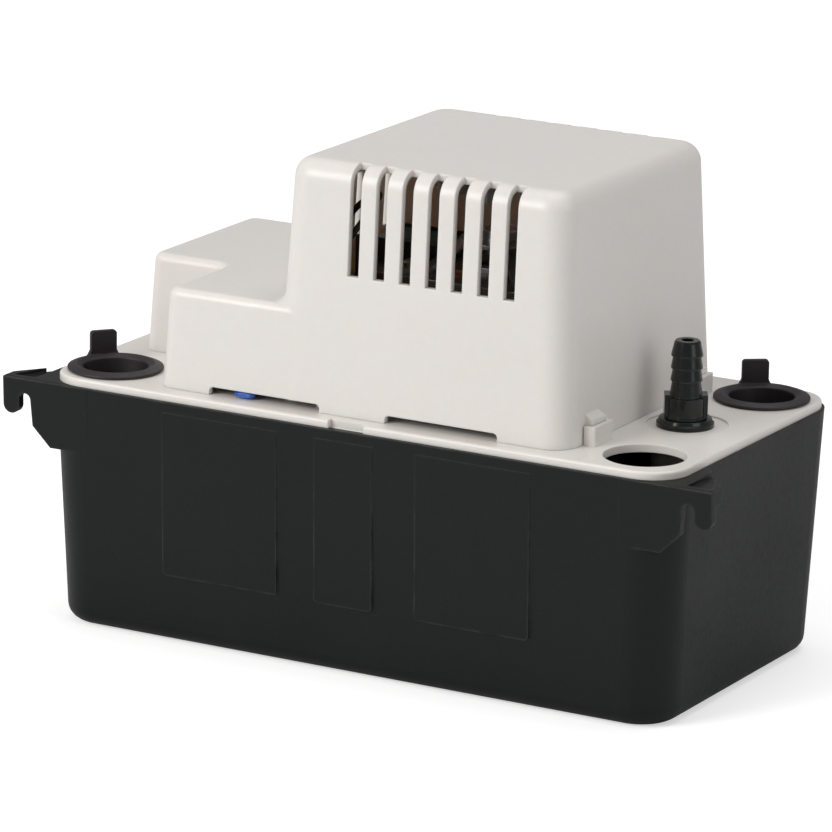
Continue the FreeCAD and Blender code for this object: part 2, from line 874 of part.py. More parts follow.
def step_form(label, inset):
    """The low step of the cover, L-shaped in plan, reaching inside the dome."""
    body = new_body(label)
    half = cover_half_width - S.step_setback - inset
    back_left = S.step_back_left + inset
    left = S.step_left + inset
    notch = S.step_notch_y + inset
    low = lid_top if float(as_size(inset)) == 0 else lid_top - 1
    outline = [(0, -half), (0, half), (back_left, half), (back_left, notch), (left, notch), (left, -half)]
    pad(body, polygon(new_sketch(body, XY, low), outline), step_top - inset - low)
    draft(body, S.cover_draft, lid_top)
    corners = ((back_left, half), (back_left, notch), (left, -half))
    soften(body, S.step_corner - inset,
           lambda edge: any(cover_corner(edge, x, y) for x, y in corners))
    soften(body, S.step_corner + inset, lambda edge: cover_corner(edge, left, notch))
    top = step_top - inset
    soften(body, S.step_top_round - inset * 0.8,
           lambda edge: level(edge, top) and edge.BoundBox.XMin < -1)
    return body


def dome_form(label, inset):
    """The tall motor dome of the cover, with drafted walls and a rounded top."""
    body = new_body(label)
    half = cover_half_width - inset
    right = S.cover_right - inset
    low = lid_top if float(as_size(inset)) == 0 else lid_top - 1
    outline = rectangle(new_sketch(body, XY, low), S.dome_left + inset, right, -half, half)
    pad(body, outline, cover_top - inset - low)
    draft(body, S.cover_draft, lid_top)
    soften(body, S.dome_corner - inset, upright)
    soften(body, S.dome_top_round - inset, lambda edge: level(edge, cover_top - inset))
    return body


def vent_row(body, side):
    """A row of upright slots through the dome's front, side -1, or back, side +1."""
    reach = cover_half_width + 1
    slot = new_sketch(body, XZ, -side * reach)
    rectangle(slot, S.vent_first - S.vent_width / 2, S.vent_first + S.vent_width / 2,
              vent_bottom, cover_top + 1)
    cut = pocket(body, slot, S.vent_depth, back=side > 0)
    row(body, [cut], S.vent_pitch, S.vent_count)


def side_vents(body):
    """Upright slots through the dome's left wall, above the step."""
    slots = new_sketch(body, YZ, S.dome_left - 1)
    half = S.side_vent_width / 2
    count = int(S.side_vent_count.value)
    for i in range(count):
        centre = S.side_vent_pitch * (i - (count - 1) / 2)
        rectangle(slots, centre - half, centre + half, side_vent_bottom,
                  side_vent_bottom + S.side_vent_height)
    pocket(body, slots, S.cover_wall * 3, back=True)


def cover_tongue(body, wall_x, centre_y, side):
    """A chamfered tongue on the cover's wall that snaps into the lid's catch."""
    foot = lid_top + S.latch_gap
    outer_x = wall_x + side * (S.latch_gap + S.latch_thickness)
    inner_x = wall_x - side * S.cover_wall / 2
    profile = polygon(new_sketch(body, XZ, -centre_y), [
        (inner_x, foot),
        (outer_x, foot),
        (outer_x, lid_top + S.latch_height - S.latch_thickness),
        (inner_x, lid_top + S.latch_height),
    ])
    pad(body, profile, S.latch_width, both=True)


def make_cover():
    """Stepped shell with vent slots on both sides, bottom notches and four latch tongues."""
    shells = []
    for label, inset in (("outside", as_size(0)), ("inside", S.cover_wall)):
        step = step_form(f"step_{label}", inset)
        dome = dome_form(f"dome_{label}", inset)
        if label == "outside":
            vent_row(dome, -1)
            vent_row(dome, 1)
            side_vents(dome)
        joined = doc.addObject("Part::Fuse", f"cover_{label}")
        joined.Base = step
        joined.Tool = dome
        joined.Refine = True
        doc.recompute()
        shells.append(joined)
    outside = shells[0]
    seam = [i for i, edge in enumerate(outside.Shape.Edges, start=1)
            if level(edge, step_top) and edge.BoundBox.XMin > float(S.dome_left)]
    blended = doc.addObject("Part::Fillet", "cover_blended")
    blended.Base = outside
    radius = float(S.junction_round)
    blended.Edges = [(i, radius, radius) for i in seam]
    shells[0] = blended
    hollow = doc.addObject("Part::Cut", "cover_hollow")
    hollow.Base, hollow.Tool = shells
    opened = doc.addObject("Part::Cut", "cover_opened")
    opened.Base = hollow
    opened.Tool = cover_openings()
    cover = doc.addObject("Part::Fuse", "motor_cover")
    cover.Label = "motor_cover"
    cover.Base = opened
    cover.Tool = cover_tongues()
    cover.Refine = True
    return keep(cover)


def cover_openings():
    """Two low notches in the front wall and a round cord inlet in the back wall."""
    body = new_body("cover_openings")
    body.AllowCompound = True
    front = new_sketch(body, XZ, cover_half_width + 1)
    for start, end in ((S.left_drain_start, S.left_drain_end), (S.right_drain_start, S.right_drain_end)):
        rectangle(front, start, end, lid_top - 1, lid_top + S.drain_height)
    pad(body, front, S.cover_wall * 2 + 1, back=True)
    soften(body, S.drain_round, lambda edge: deep(edge) and near(edge.BoundBox.Center.z, lid_top + S.drain_height))
    back = new_sketch(body, XZ, -(cover_half_width + 1))
    circle(back, S.cord_inlet_radius, S.cord_inlet_x, lid_top + S.cord_inlet_rise)
    pad(body, back, S.cover_wall * 2 + 1)
    return body


def cover_tongues():
    body = new_body("cover_tongues")
    body.AllowCompound = True
    for wall_x, centre_y, side in latch_places():
        cover_tongue(body, wall_x, centre_y, side)
    return body


# Inlet plugs

def make_plug(label, x, y, tab_angle):
    """Rubber plug: flange, hollow cup that drops into the inlet, and an upright pull tab."""
    body = new_body(label, x, y, lid_top, tab_angle)
    stem = S.inlet_radius - S.plug_gap
    rim = S.plug_flange_radius
    height = S.plug_flange_height
    revolve(body, [
        (0, -S.plug_depth),
        (stem - 1, -S.plug_depth),
        (stem, -S.plug_depth + 1),
        (stem, S.plug_gap),
        (rim, S.plug_gap),
        (rim, S.plug_gap + S.plug_lip),
        (rim - S.plug_crest_in, height),
        (S.plug_cup_radius, height - S.plug_dish),
        (S.plug_cup_radius - 0.5, S.plug_floor - S.plug_depth),
        (0, S.plug_floor - S.plug_depth),
    ])
    soften(body, S.plug_lip * 0.45, lambda edge: near(edge.BoundBox.XMax, rim, 0.01))
    soften(body, S.plug_crest_in / 2, lambda edge: level(edge, height))
    soften(body, S.plug_dish / 2, lambda edge: level(edge, height - S.plug_dish))
    tab = new_sketch(body, YZ, S.plug_tab_place - S.plug_tab_thickness / 2)
    half = S.plug_tab_width / 2
    flare = S.plug_tab_flare
    polygon(tab, [
        (-half - flare, height - S.plug_dish),
        (half + flare, height - S.plug_dish),
        (half + flare * 0.3, height + flare * 0.3),
        (half, height + flare),
        (half, height + S.plug_tab_height),
        (-half, height + S.plug_tab_height),
        (-half, height + flare),
        (-half - flare * 0.3, height + flare * 0.3),
    ])
    pad(body, tab, S.plug_tab_thickness)

    def tab_corner(edge):
        flat = abs(edge.BoundBox.XLength) > 0.9 * edge.Length
        return flat and near(edge.BoundBox.Center.z, height + S.plug_tab_height, 0.2)

    soften(body, S.plug_tab_round, tab_corner)
    return keep(body)


# Discharge fitting and check valve

def make_fitting():
    """Barbed hose fitting with a stepped flange, a lugged hub and a spigot into the lid."""
    body = new_body("discharge_fitting", S.fitting_x, S.fitting_y, fitting_seat, 30)
    bore = S.fitting_bore
    flange = S.fitting_flange_radius
    top = S.fitting_height + S.fitting_recess
    outline = [
        (bore, -S.spigot_length),
        (S.spigot_radius - 1, -S.spigot_length),
        (S.spigot_radius, -S.spigot_length + 1),
        (S.spigot_radius, 0),
        (flange, 0),
        (flange, 1.4),
        (flange - 0.5, 1.9),
        (flange - 1.0, 3.0),
        (S.fitting_hub_radius + 0.6, 3.4),
        (S.fitting_hub_radius, 4.2),
        (S.fitting_hub_radius, S.fitting_hub_height),
        (S.barb_radius + 0.2, S.fitting_hub_height + 0.3),
    ]
    barb = S.barb_first
    outline.append((S.barb_root + 0.15, barb + S.fitting_recess))
    for i in range(int(S.barb_count.value)):
        start = S.barb_first + S.barb_pitch * i + S.fitting_recess
        outline.append((S.barb_radius, start))
        outline.append((S.barb_radius, start + 0.5))
        outline.append((S.barb_root, start + S.barb_pitch))
    outline[-1] = (S.barb_root - 0.2, top - 0.7)
    outline.append((S.barb_root - 0.7, top))
    outline.append((bore, top))
    revolve(body, outline)
    lugs = new_sketch(body, XY, 3)
    reach = S.fitting_hub_radius + S.lug_reach
    half = S.lug_width / 2
    rectangle(lugs, S.barb_root, reach, -half, half)
    rectangle(lugs, -reach, -S.barb_root, -half, half)
    pad(body, lugs, S.fitting_hub_height - 2)
    return keep(body)


def make_fitting_ring():
    """Sealing ring under the fitting's flange, in the lid's counterbore."""
    body = new_body("fitting_seal_ring", S.fitting_x, S.fitting_y, fitting_seat)
    middle_x = S.spigot_radius + S.ring_section + 0.05
    middle_z = -S.ring_section - 0.05
    points = []
    for i in range(8):
        angle = math.pi / 8 * (2 * i + 1)
        points.append((middle_x + S.ring_section * round(math.cos(angle), 4),
                       middle_z + S.ring_section * round(math.sin(angle), 4)))
    revolve(body, points)
    return keep(body)


def make_valve_seat():
    body = new_body("valve_seat", S.fitting_x, S.fitting_y, seat_bottom)
    outer = S.valve_bore - S.bearing_gap
    revolve(body, [
        (S.seat_hole, 0),
        (outer, 0),
        (outer, S.seat_height - 0.6),
        (S.seat_hole + 1.6, S.seat_height - 0.6),
        (S.seat_hole + 1.2, S.seat_height),
        (S.seat_hole, S.seat_height - 0.5),
    ])
    return keep(body)


def make_poppet():
    """Check valve poppet: a domed head with a fluted stem that slides in the fitting's bore."""
    body = new_body("valve_poppet", S.fitting_x, S.fitting_y, seat_top + S.poppet_gap)
    revolve(body, [
        (0, -1.2),
        (S.seat_hole - 1.2, -1.2),
        (S.seat_hole - 0.4, 0),
        (S.poppet_radius, 0),
        (S.poppet_radius, S.poppet_height - 0.6),
        (S.poppet_radius - 0.8, S.poppet_height),
        (0, S.poppet_height),
    ])
    reach = S.fitting_bore - S.poppet_guide_gap
    for length, width in ((reach * 2, S.poppet_rib), (S.poppet_rib, reach * 2)):
        stem = centred(new_sketch(body, XY, S.poppet_height - 0.2), length, width)
        pad(body, stem, S.poppet_stem)
    return keep(body)


def rod(points, radius):
    """A round bar of straight runs joined by arcs as large as the runs allow."""
    pieces = []
    start = points[0]
    for before, corner, after in zip(points, points[1:], points[2:]):
        into = (corner - before).normalize()
        out = (after - corner).normalize()
        reach = 0.45 * min((corner - before).Length, (after - corner).Length)
        enter = corner - into * reach
        bend = into.getAngle(out)
        centre = enter + (out - into * math.cos(bend)).normalize() * (reach / math.tan(bend / 2))
        pieces.append(Part.makeCylinder(radius, (enter - start).Length, start, into))
        disc = Part.Face(Part.Wire([Part.makeCircle(radius, enter, into)]))
        pieces.append(disc.revolve(centre, into.cross(out), math.degrees(bend)))
        start = corner + out * reach
    end = points[-1]
    pieces.append(Part.makeCylinder(radius, (end - start).Length, start, end - start))
    return pieces[0].multiFuse(pieces[1:]).removeSplitter()


def tube(points, radius, bore):
    """A bent round tube, open at both ends."""
    return rod(points, radius).cut(rod(points, bore))


outlet_y = -(S.volute_start + 4 * S.volute_step) + S.outlet_width / 2
chamber_top = S.casing_top - S.casing_roof
outlet_z = (S.casing_floor + chamber_top) / 2


def make_pipe():
    """Rigid pipe from the pump's outlet to the bottom of the valve chamber."""
    start = Vector(float(S.motor_x + S.outlet_reach), float(outlet_y), float(outlet_z))
    end = Vector(float(S.fitting_x), float(S.fitting_y), float(seat_bottom - S.plug_gap))
    turn = Vector(end.x - float(S.pipe_run), start.y, start.z)
    rise = Vector(end.x, end.y, start.z + float(S.pipe_lift))
    shape = tube([start, turn, rise, end], float(S.pipe_radius), float(S.pipe_bore))
    return feature_part("discharge_pipe", shape)


# Pump end

def make_column():
    """Tube that carries the pump casing below the lid, with drain windows at its foot."""
    body = new_body("shaft_column", S.motor_x, 0, S.casing_top)
    length = S.tank_height - S.casing_top
    revolve(body, [
        (S.column_bore, 0),
        (S.column_flange_radius, 0),
        (S.column_flange_radius, S.column_flange),
        (S.column_radius, S.column_flange + 1),
        (S.column_radius + 1.2, length - S.column_flange - 2),
        (S.column_flange_radius, length - S.column_flange),
        (S.column_flange_radius, length),
        (S.column_bore, length),
    ])
    window = new_sketch(body, XZ)
    rectangle(window, -2.2, 2.2, S.column_flange + 3, S.column_flange + 15)
    cut = pocket(body, window, S.column_flange_radius + 1, back=True)
    polar(body, [cut], 3)
    return keep(body)


def volute_centres():
    """Centres of the spiral's four quarter arcs, each tangent to the one before."""
    step = float(S.volute_step)
    return [Vector(0, 0, 0), Vector(-step, 0, 0), Vector(-step, -step, 0), Vector(0, -step, 0)]


def volute_prism(grow, low, high):
    """The spiral casing's plan, offset outwards, raised between two heights."""
    centres = volute_centres()
    radii = [float(S.volute_start) + i * float(S.volute_step) + grow for i in range(4)]
    outer_y = centres[3].y - radii[3]
    inner_y = outer_y + float(S.outlet_width) + 2 * grow
    reach = float(S.outlet_reach)
    if grow <= 0:
        reach -= float(S.casing_wall)
    tongue = Vector(math.sqrt(radii[0] ** 2 - inner_y ** 2), inner_y, 0)
    edges = []
    for i, (centre, radius) in enumerate(zip(centres, radii)):
        begin = math.atan2(tongue.y, tongue.x) if i == 0 else (i - 1) * math.pi / 2
        ring = Part.Circle(centre, Vector(0, 0, 1), radius)
        edges.append(Part.ArcOfCircle(ring, begin, i * math.pi / 2).toShape())
    corners = [Vector(0, outer_y, 0), Vector(reach, outer_y, 0), Vector(reach, inner_y, 0), tongue]
    for start, end in zip(corners, corners[1:]):
        edges.append(Part.LineSegment(start, end).toShape())
    face = Part.Face(Part.Wire(edges))
    face.translate(Vector(0, 0, float(low)))
    return face.extrude(Vector(0, 0, float(high - low)))


def lug_places():
    """Centres of the three screw lugs, each set just outside the spiral wall."""
    places = []
    for quarter, angle in ((1, 40), (2, 150), (3, 250)):
        away = Vector(math.cos(math.radians(angle)), math.sin(math.radians(angle)), 0)
        centre = volute_centres()[quarter]
        radius = float(S.volute_start) + quarter * float(S.volute_step) + float(S.casing_wall)
        along = centre.dot(away)
        reach = along + math.sqrt(radius ** 2 - centre.dot(centre) + along ** 2)
        places.append(away * (reach + float(S.lug_radius) * 0.7))
    return places


def drum(radius, low, high, at=Vector(0, 0, 0)):
    """An upright cylinder between two heights."""
    return Part.makeCylinder(float(radius), float(high) - float(low), at + Vector(0, 0, float(low)))


def with_lugs(shape, low, high):
    """Join the screw lugs to a casing shape and drill them."""
    for place in lug_places():
        shape = shape.fuse(drum(S.lug_radius, low, high, place))
    for place in lug_places():
        shape = shape.cut(drum(S.screw_radius + S.bolt_gap, low - 1, high + 1, place))
    return shape.removeSplitter()


def make_casing():
    """Spiral pump casing, open below, with a round socket for the discharge pipe."""
    low = S.casing_floor
    wall = float(S.casing_wall)
    outer = volute_prism(wall, low, S.casing_top)
    chamber = volute_prism(0, low - 1, chamber_top)
    collar_start = Vector(float(S.outlet_reach), float(outlet_y), float(outlet_z))
    along = Vector(1, 0, 0)
    pipe_hole = float(S.pipe_radius + S.bearing_gap)
    collar = Part.makeCylinder(pipe_hole + wall, float(S.collar_length), collar_start, along)
    shape = with_lugs(outer.fuse(collar), low, S.casing_top).cut(chamber)
    shape = shape.cut(Part.makeCylinder(pipe_hole, float(S.collar_length) + 1, collar_start, along))
    shape = shape.cut(Part.makeCylinder(float(S.pipe_bore), 3 * wall, collar_start - along * 2 * wall, along))
    shape = shape.cut(drum(S.shaft_radius + 1, chamber_top - 1, S.casing_top + 1))
    return feature_part("pump_casing", shape.removeSplitter(), x=S.motor_x)


def make_casing_plate():
    """Bottom plate of the pump casing with the suction hole."""
    low = S.casing_floor - S.casing_plate
    plate = with_lugs(volute_prism(float(S.casing_wall), low, S.casing_floor), low, S.casing_floor)
    plate = plate.cut(drum(S.pump_inlet_radius, low - 1, S.casing_floor + 1))
    return feature_part("casing_plate", plate, x=S.motor_x)


def make_casing_screws():
    """Three screws up through the casing plate into the lugs."""
    low = S.casing_floor - S.casing_plate
    screws = []
    for place in lug_places():
        head = drum(S.lug_radius * 0.75, low - 1.4, low, place)
        screws.append(head.fuse(drum(S.screw_radius, low - 0.5, S.casing_top - 3, place)).removeSplitter())
    return feature_part("casing_screws", Part.makeCompound(screws), x=S.motor_x)


def make_impeller():
    """Disc with straight radial vanes below it, pressed on the shaft."""
    top = chamber_top - S.impeller_gap
    body = new_body("impeller", S.motor_x, 0, 0)
    low = S.casing_floor + S.impeller_gap
    revolve(body, [
        (S.shaft_radius, low),
        (S.shaft_radius + 2, low),
        (S.shaft_radius + 2.6, top - S.impeller_disc - 1),
        (S.impeller_radius, top - S.impeller_disc),
        (S.impeller_radius, top),
        (S.shaft_radius, top),
    ])
    vane = new_sketch(body, XY, low)
    rectangle(vane, S.shaft_radius + 1, S.impeller_radius, -S.impeller_vane / 2, S.impeller_vane / 2)
    blade = pad(body, vane, top - low)
    polar(body, [blade], S.impeller_vanes)
    return keep(body)


# Motor and drive

post_top = lid_top + S.post_height
fan_top = fan_bottom + S.fan_blade_height + S.fan_disc


def make_shaft():
    body = new_body("motor_shaft", S.motor_x, 0, 0)
    low = S.casing_floor + S.impeller_gap
    radius = S.shaft_radius
    revolve(body, [(0, low), (radius - 0.5, low), (radius, low + 0.5), (radius, fan_top - 0.5),
                   (radius - 0.5, fan_top), (0, fan_top)])
    return keep(body)


def make_slinger():
    """Rubber disc that throws water off the shaft before it reaches the motor."""
    body = new_body("water_slinger", S.motor_x, 0, lid_top + S.slinger_rise)
    bore = S.shaft_radius
    revolve(body, [(bore, -1.5), (bore + 1.6, -1.5), (bore + 1.8, 0), (S.slinger_radius, -0.6),
                   (S.slinger_radius, 0.6), (bore + 2.2, S.slinger_height), (bore, S.slinger_height)])
    return keep(body)


def make_laminations():
    """Stack of motor iron: rotor bore, coil window, bolt holes and shading ring holes."""
    body = new_body("stator_laminations", S.motor_x, 0, stack_bottom)
    plate = new_sketch(body, XY)
    rectangle(plate, -S.stack_left, S.stack_right, -S.stack_half_width, S.stack_half_width)
    pad(body, plate, S.stack_height)
    soften(body, 3.0, upright)
    holes = new_sketch(body, XY, S.stack_height)
    rectangle(holes, -S.stack_left + S.limb_width, -S.window_right, -S.window_half_width, S.window_half_width)
    circle(holes, S.stack_bore)
    for side_x in (-1, 1):
        for side_y in (-1, 1):
            circle(holes, S.bolt_radius + S.bolt_gap, side_x * S.bolt_reach, side_y * S.bolt_reach)
    for side in (-1, 1):
        for x in (S.shading_start, S.shading_start + S.shading_span):
            half = S.shading_width / 2 + S.bolt_gap
            centre_y = side * S.shading_place
            rectangle(holes, min_size(side * x - half, side * x + half), max_size(side * x - half, side * x + half),
                      centre_y - half, centre_y + half)
    pocket(body, holes, S.stack_height)
    return keep(body)


def make_shading_rings():
    """Two closed copper straps through the pole tips."""
    body = new_body("shading_rings", S.motor_x, 0, stack_bottom)
    body.AllowCompound = True
    width = S.shading_width
    for side in (-1, 1):
        centre = side * (S.shading_start + S.shading_span / 2)
        strap = new_sketch(body, XZ, -side * S.shading_place)
        outer = S.shading_span / 2 + width / 2
        rectangle(strap, centre - outer, centre + outer, -width, S.stack_height + width)
        inner = outer - width
        rectangle(strap, centre - inner, centre + inner, -S.bolt_gap, S.stack_height + S.bolt_gap)
        pad(body, strap, width, both=True)
    return keep(body)


def make_bobbin():
    """Plastic former round the coil's limb, with a flange at each end."""
    body = new_body("coil_bobbin", S.motor_x, 0, stack_bottom + S.stack_height / 2)
    gap = S.bobbin_gap
    wall = S.bobbin_wall
    left = -S.stack_left - gap
    right = -S.stack_left + S.limb_width + gap
    half = S.stack_height / 2 + gap
    sleeve = rectangle(new_sketch(body, XZ), left - wall, right + wall, -half - wall, half + wall)
    pad(body, sleeve, (S.winding_half_width + wall) * 2, both=True)
    for side in (-1, 1):
        place = -side * (S.winding_half_width + wall / 2)
        flange = new_sketch(body, XZ, place)
        rectangle(flange, -S.winding_left - 0.4, -S.winding_right + 0.4, -S.winding_height / 2 - 0.5,
                  S.winding_height / 2 + 0.5)
        pad(body, flange, wall, both=True)
    hole = rectangle(new_sketch(body, XZ), left, right, -half, half)
    pocket(body, hole, (S.winding_half_width + wall) * 2 + 2, both=True)
    return keep(body)


def make_winding():
    """The taped coil between the bobbin's flanges."""
    body = new_body("coil_winding", S.motor_x, 0, stack_bottom + S.stack_height / 2)
    outer = new_sketch(body, XZ)
    rectangle(outer, -S.winding_left, -S.winding_right, -S.winding_height / 2, S.winding_height / 2)
    pad(body, outer, S.winding_half_width * 2, both=True)
    soften(body, S.winding_round, deep)
    inset = S.bobbin_gap + S.bobbin_wall
    half = S.stack_height / 2 + inset
    hole = new_sketch(body, XZ)
    rectangle(hole, -S.stack_left - inset, -S.stack_left + S.limb_width + inset, -half, half)
    pocket(body, hole, S.winding_half_width * 2 + 2, both=True)
    return keep(body)


def make_bracket(label, height, drop):
    """Four-legged motor bracket whose plate is offset from its feet and carries a bearing cup."""
    body = new_body(label, S.motor_x, 0, height)
    metal = S.bracket_metal
    plate = S.bracket_plate_radius
    cup = S.bearing_radius + S.bearing_cup_wall
    half_cup = S.bearing_length / 2
    middle = drop + metal / 2
    revolve(body, [
        (S.bearing_radius, middle - half_cup),
        (cup, middle - half_cup),
        (cup, drop),
        (plate, drop),
        (plate, drop + metal),
        (cup, drop + metal),
        (cup, middle + half_cup),
        (S.bearing_radius, middle + half_cup),
    ])
    leg = new_sketch(body, XZ, 0, turn=45)
    inner = plate - 1
    bend = S.bolt_reach * math.sqrt(2) - 5.6
    polygon(leg, [
        (S.bracket_foot, 0),
        (S.bracket_foot, metal),
        (bend, metal),
        (inner, drop + metal),
        (inner, drop),
        (bend, 0),
    ])
    strap = pad(body, leg, S.bracket_strap, both=True)
    legs = polar(body, [strap], 4)
    holes = new_sketch(body, XY, metal + 0.5)
    for side_x in (-1, 1):
        for side_y in (-1, 1):
            circle(holes, S.bolt_radius + S.bolt_gap, side_x * S.bolt_reach, side_y * S.bolt_reach)
    pocket(body, holes, metal + 1)
    return keep(body)


def make_bearing(label, height, drop):
    """Sleeve bearing pressed in its bracket's cup, a running fit on the shaft."""
    middle = drop + S.bracket_metal / 2
    body = new_body(label, S.motor_x, 0, height + middle - S.bearing_length / 2)
    bore = S.shaft_radius + S.bearing_gap
    outer = S.bearing_radius
    length = S.bearing_length
    revolve(body, [(bore, 0), (outer - 0.6, 0), (outer, 0.6), (outer, length - 0.6), (outer - 0.6, length),
                   (bore, length)])
    return keep(body)


def make_rotor():
    body = new_body("rotor_core", S.motor_x, 0, stack_bottom)
    outer = S.stack_bore - S.air_gap
    revolve(body, [(S.shaft_radius, 0), (outer, 0), (outer, S.stack_height), (S.shaft_radius, S.stack_height)])
    return keep(body)


def make_rotor_rings():
    """Cast rings on both faces of the rotor."""
    body = new_body("rotor_end_rings", S.motor_x, 0, stack_bottom)
    body.AllowCompound = True
    outer = S.stack_bore - S.air_gap - 0.6
    for low in (-S.rotor_overhang, S.stack_height):
        revolve(body, [(outer - 4, low), (outer, low), (outer, low + S.rotor_overhang),
                       (outer - 4, low + S.rotor_overhang)])
    return keep(body)


def make_fan():
    """Cooling fan: a disc with a ring of blades below it."""
    body = new_body("cooling_fan", S.motor_x, 0, fan_bottom)
    blade_height = S.fan_blade_height
    top = blade_height + S.fan_disc
    revolve(body, [
        (S.shaft_radius, 0),
        (S.fan_hub_radius, 0),
        (S.fan_hub_radius + 0.6, blade_height),
        (S.fan_radius, blade_height),
        (S.fan_radius, top),
        (S.shaft_radius, top),
    ])
    outline = new_sketch(body, XY)
    reach = S.fan_radius - 1.5
    rectangle(outline, S.fan_hub_radius + 3, reach, S.fan_hub_radius / 2, S.fan_hub_radius / 2 + S.fan_blade)
    blade = pad(body, outline, blade_height + S.fan_disc / 2)
    polar(body, [blade], S.fan_blades)
    return keep(body)


def make_motor_bolts():
    """Four long screws through both brackets and the iron into the lid's posts."""
    top = stack_top + S.bracket_metal
    body = new_body("motor_bolts", S.motor_x, 0, 0)
    body.AllowCompound = True
    shanks = new_sketch(body, XY, top)
    heads = new_sketch(body, XY, top)
    for side_x in (-1, 1):
        for side_y in (-1, 1):
            circle(shanks, S.bolt_radius, side_x * S.bolt_reach, side_y * S.bolt_reach)
            circle(heads, S.bolt_head_radius, side_x * S.bolt_reach, side_y * S.bolt_reach)
    pad(body, shanks, top - post_top + S.post_height / 2 - 1, back=True)
    pad(body, heads, S.bolt_head_height)
    soften(body, 0.6, lambda edge: level(edge, top + S.bolt_head_height), kind="Chamfer")
    return keep(body)


# Float and switches

TERMINAL_HEIGHTS = (4.0, 14.0, 24.0)


def make_float_arm():
    """Moulded lever: hub on the pivot, beam down to the float, finger up through the lid."""
    body = new_body("float_arm", S.float_x, S.pivot_y, pivot_z)
    pad(body, circle(new_sketch(body, YZ), S.arm_hub_radius), S.arm_hub_width, both=True)
    half = S.arm_depth / 2
    reach = S.float_reach
    knee = S.float_drop - S.arm_post
    beam = polygon(new_sketch(body, YZ), [
        (0, half),
        (-reach - half, half - knee),
        (-reach - half, -S.float_drop),
        (half - reach, -S.float_drop),
        (half - reach, -half - knee),
        (0, -half),
    ])
    pad(body, beam, S.arm_width, both=True)
    thick = S.finger_half_depth
    stem = rectangle(new_sketch(body, YZ), -thick, thick, 0, S.finger_height)
    pad(body, stem, S.arm_hub_width - 2, both=True)
    bar = rectangle(new_sketch(body, YZ), -thick, thick, S.finger_height - S.finger_bar, S.finger_height)
    pad(body, bar, S.finger_width, both=True)
    bore = circle(new_sketch(body, YZ), S.pivot_pin + S.pivot_gap)
    pocket(body, bore, S.arm_hub_width + 2, both=True)
    return keep(body)


def make_pivot_pin():
    body = new_body("float_pivot_pin", S.float_x, S.pivot_y, pivot_z)
    length = S.arm_hub_width + 2 * (S.pivot_ear_gap + S.pivot_ear) + 0.6
    pad(body, circle(new_sketch(body, YZ), S.pivot_pin), length, both=True)
    return keep(body)


def make_float():
    """Rounded buoyant block under the end of the arm."""
    low = pivot_z - S.float_drop - S.float_height
    body = new_body("float", S.float_x, S.pivot_y - S.float_reach, low)
    pad(body, centred(new_sketch(body, XY), S.float_length, S.float_width), S.float_height)
    soften(body, S.float_round, upright)
    soften(body, S.float_round * 0.6, lambda edge: level(edge, 0) or level(edge, S.float_height))
    return keep(body)


def switch_x(side):
    """Centre of each switch along the pump's length, side -1 left or +1 right."""
    return S.float_x + side * (S.switch_width + S.switch_spacing) / 2


def screw_points():
    """The two long screw places through both switches, from their front lower corner."""
    return ((5.0, 4.0), (11.0, 21.5))


def make_switch(label, side):
    """Snap switch body with two small cheeks that carry its lever."""
    body = new_body(label, switch_x(side), S.switch_front, lid_top + S.switch_foot)
    block = new_sketch(body, XY)
    half = S.switch_width / 2
    rectangle(block, -half, half, 0, S.switch_depth)
    pad(body, block, S.switch_height)
    soften(body, 0.8, upright)
    reach = S.lever_pivot_out * 2
    for cheek_side in (-1, 1):
        cheek = new_sketch(body, YZ, cheek_side * (half - S.switch_cheek / 2))
        rectangle(cheek, -reach, 1, S.switch_height - S.lever_pivot_down * 2, S.switch_height - 0.4)
        pad(body, cheek, S.switch_cheek, both=True)
    bore = circle(new_sketch(body, YZ), S.lever_pin + S.pivot_gap, -S.lever_pivot_out,
                  S.switch_height - S.lever_pivot_down)
    pocket(body, bore, S.switch_width + 2, both=True)
    holes = new_sketch(body, YZ)
    for y, z in screw_points():
        circle(holes, S.screw_radius + S.bolt_gap, y, z)
    pocket(body, holes, S.switch_width + 2, both=True)
    return keep(body)


def make_switch_lever(label, side):
    """Spring steel lever with a small pivot pin, resting just clear of the float arm's finger."""
    pivot_y = S.switch_front - S.lever_pivot_out
    lever_z = lid_top + S.switch_foot + S.switch_height - S.lever_pivot_down
    body = new_body(label, switch_x(side), pivot_y, lever_z)
    pad(body, circle(new_sketch(body, YZ), S.lever_hub), S.lever_width, both=True)
    pad(body, circle(new_sketch(body, YZ), S.lever_pin), S.switch_width - 0.2, both=True)
    half = S.lever_thickness / 2
    out = S.lever_tip_out
    down = S.lever_length
    plate = polygon(new_sketch(body, YZ), [
        (-half, 0.2),
        (-out - half, -down),
        (-out + half, -down),
        (half, -0.2),
    ])
    pad(body, plate, S.lever_width, both=True)
    return keep(body)


def make_terminals():
    """Blade terminals on the back of both switches."""
    body = new_body("switch_terminals", S.float_x, S.switch_front + S.switch_depth, lid_top + S.switch_foot)
    body.AllowCompound = True
    for side in (-1, 1):
        for height in TERMINAL_HEIGHTS:
            blade = new_sketch(body, XY, height)
            middle = side * (S.switch_width + S.switch_spacing) / 2
            rectangle(blade, middle - S.terminal_width / 2, middle + S.terminal_width / 2, 0, S.terminal_length)
            pad(body, blade, S.terminal_thickness)
    return keep(body)


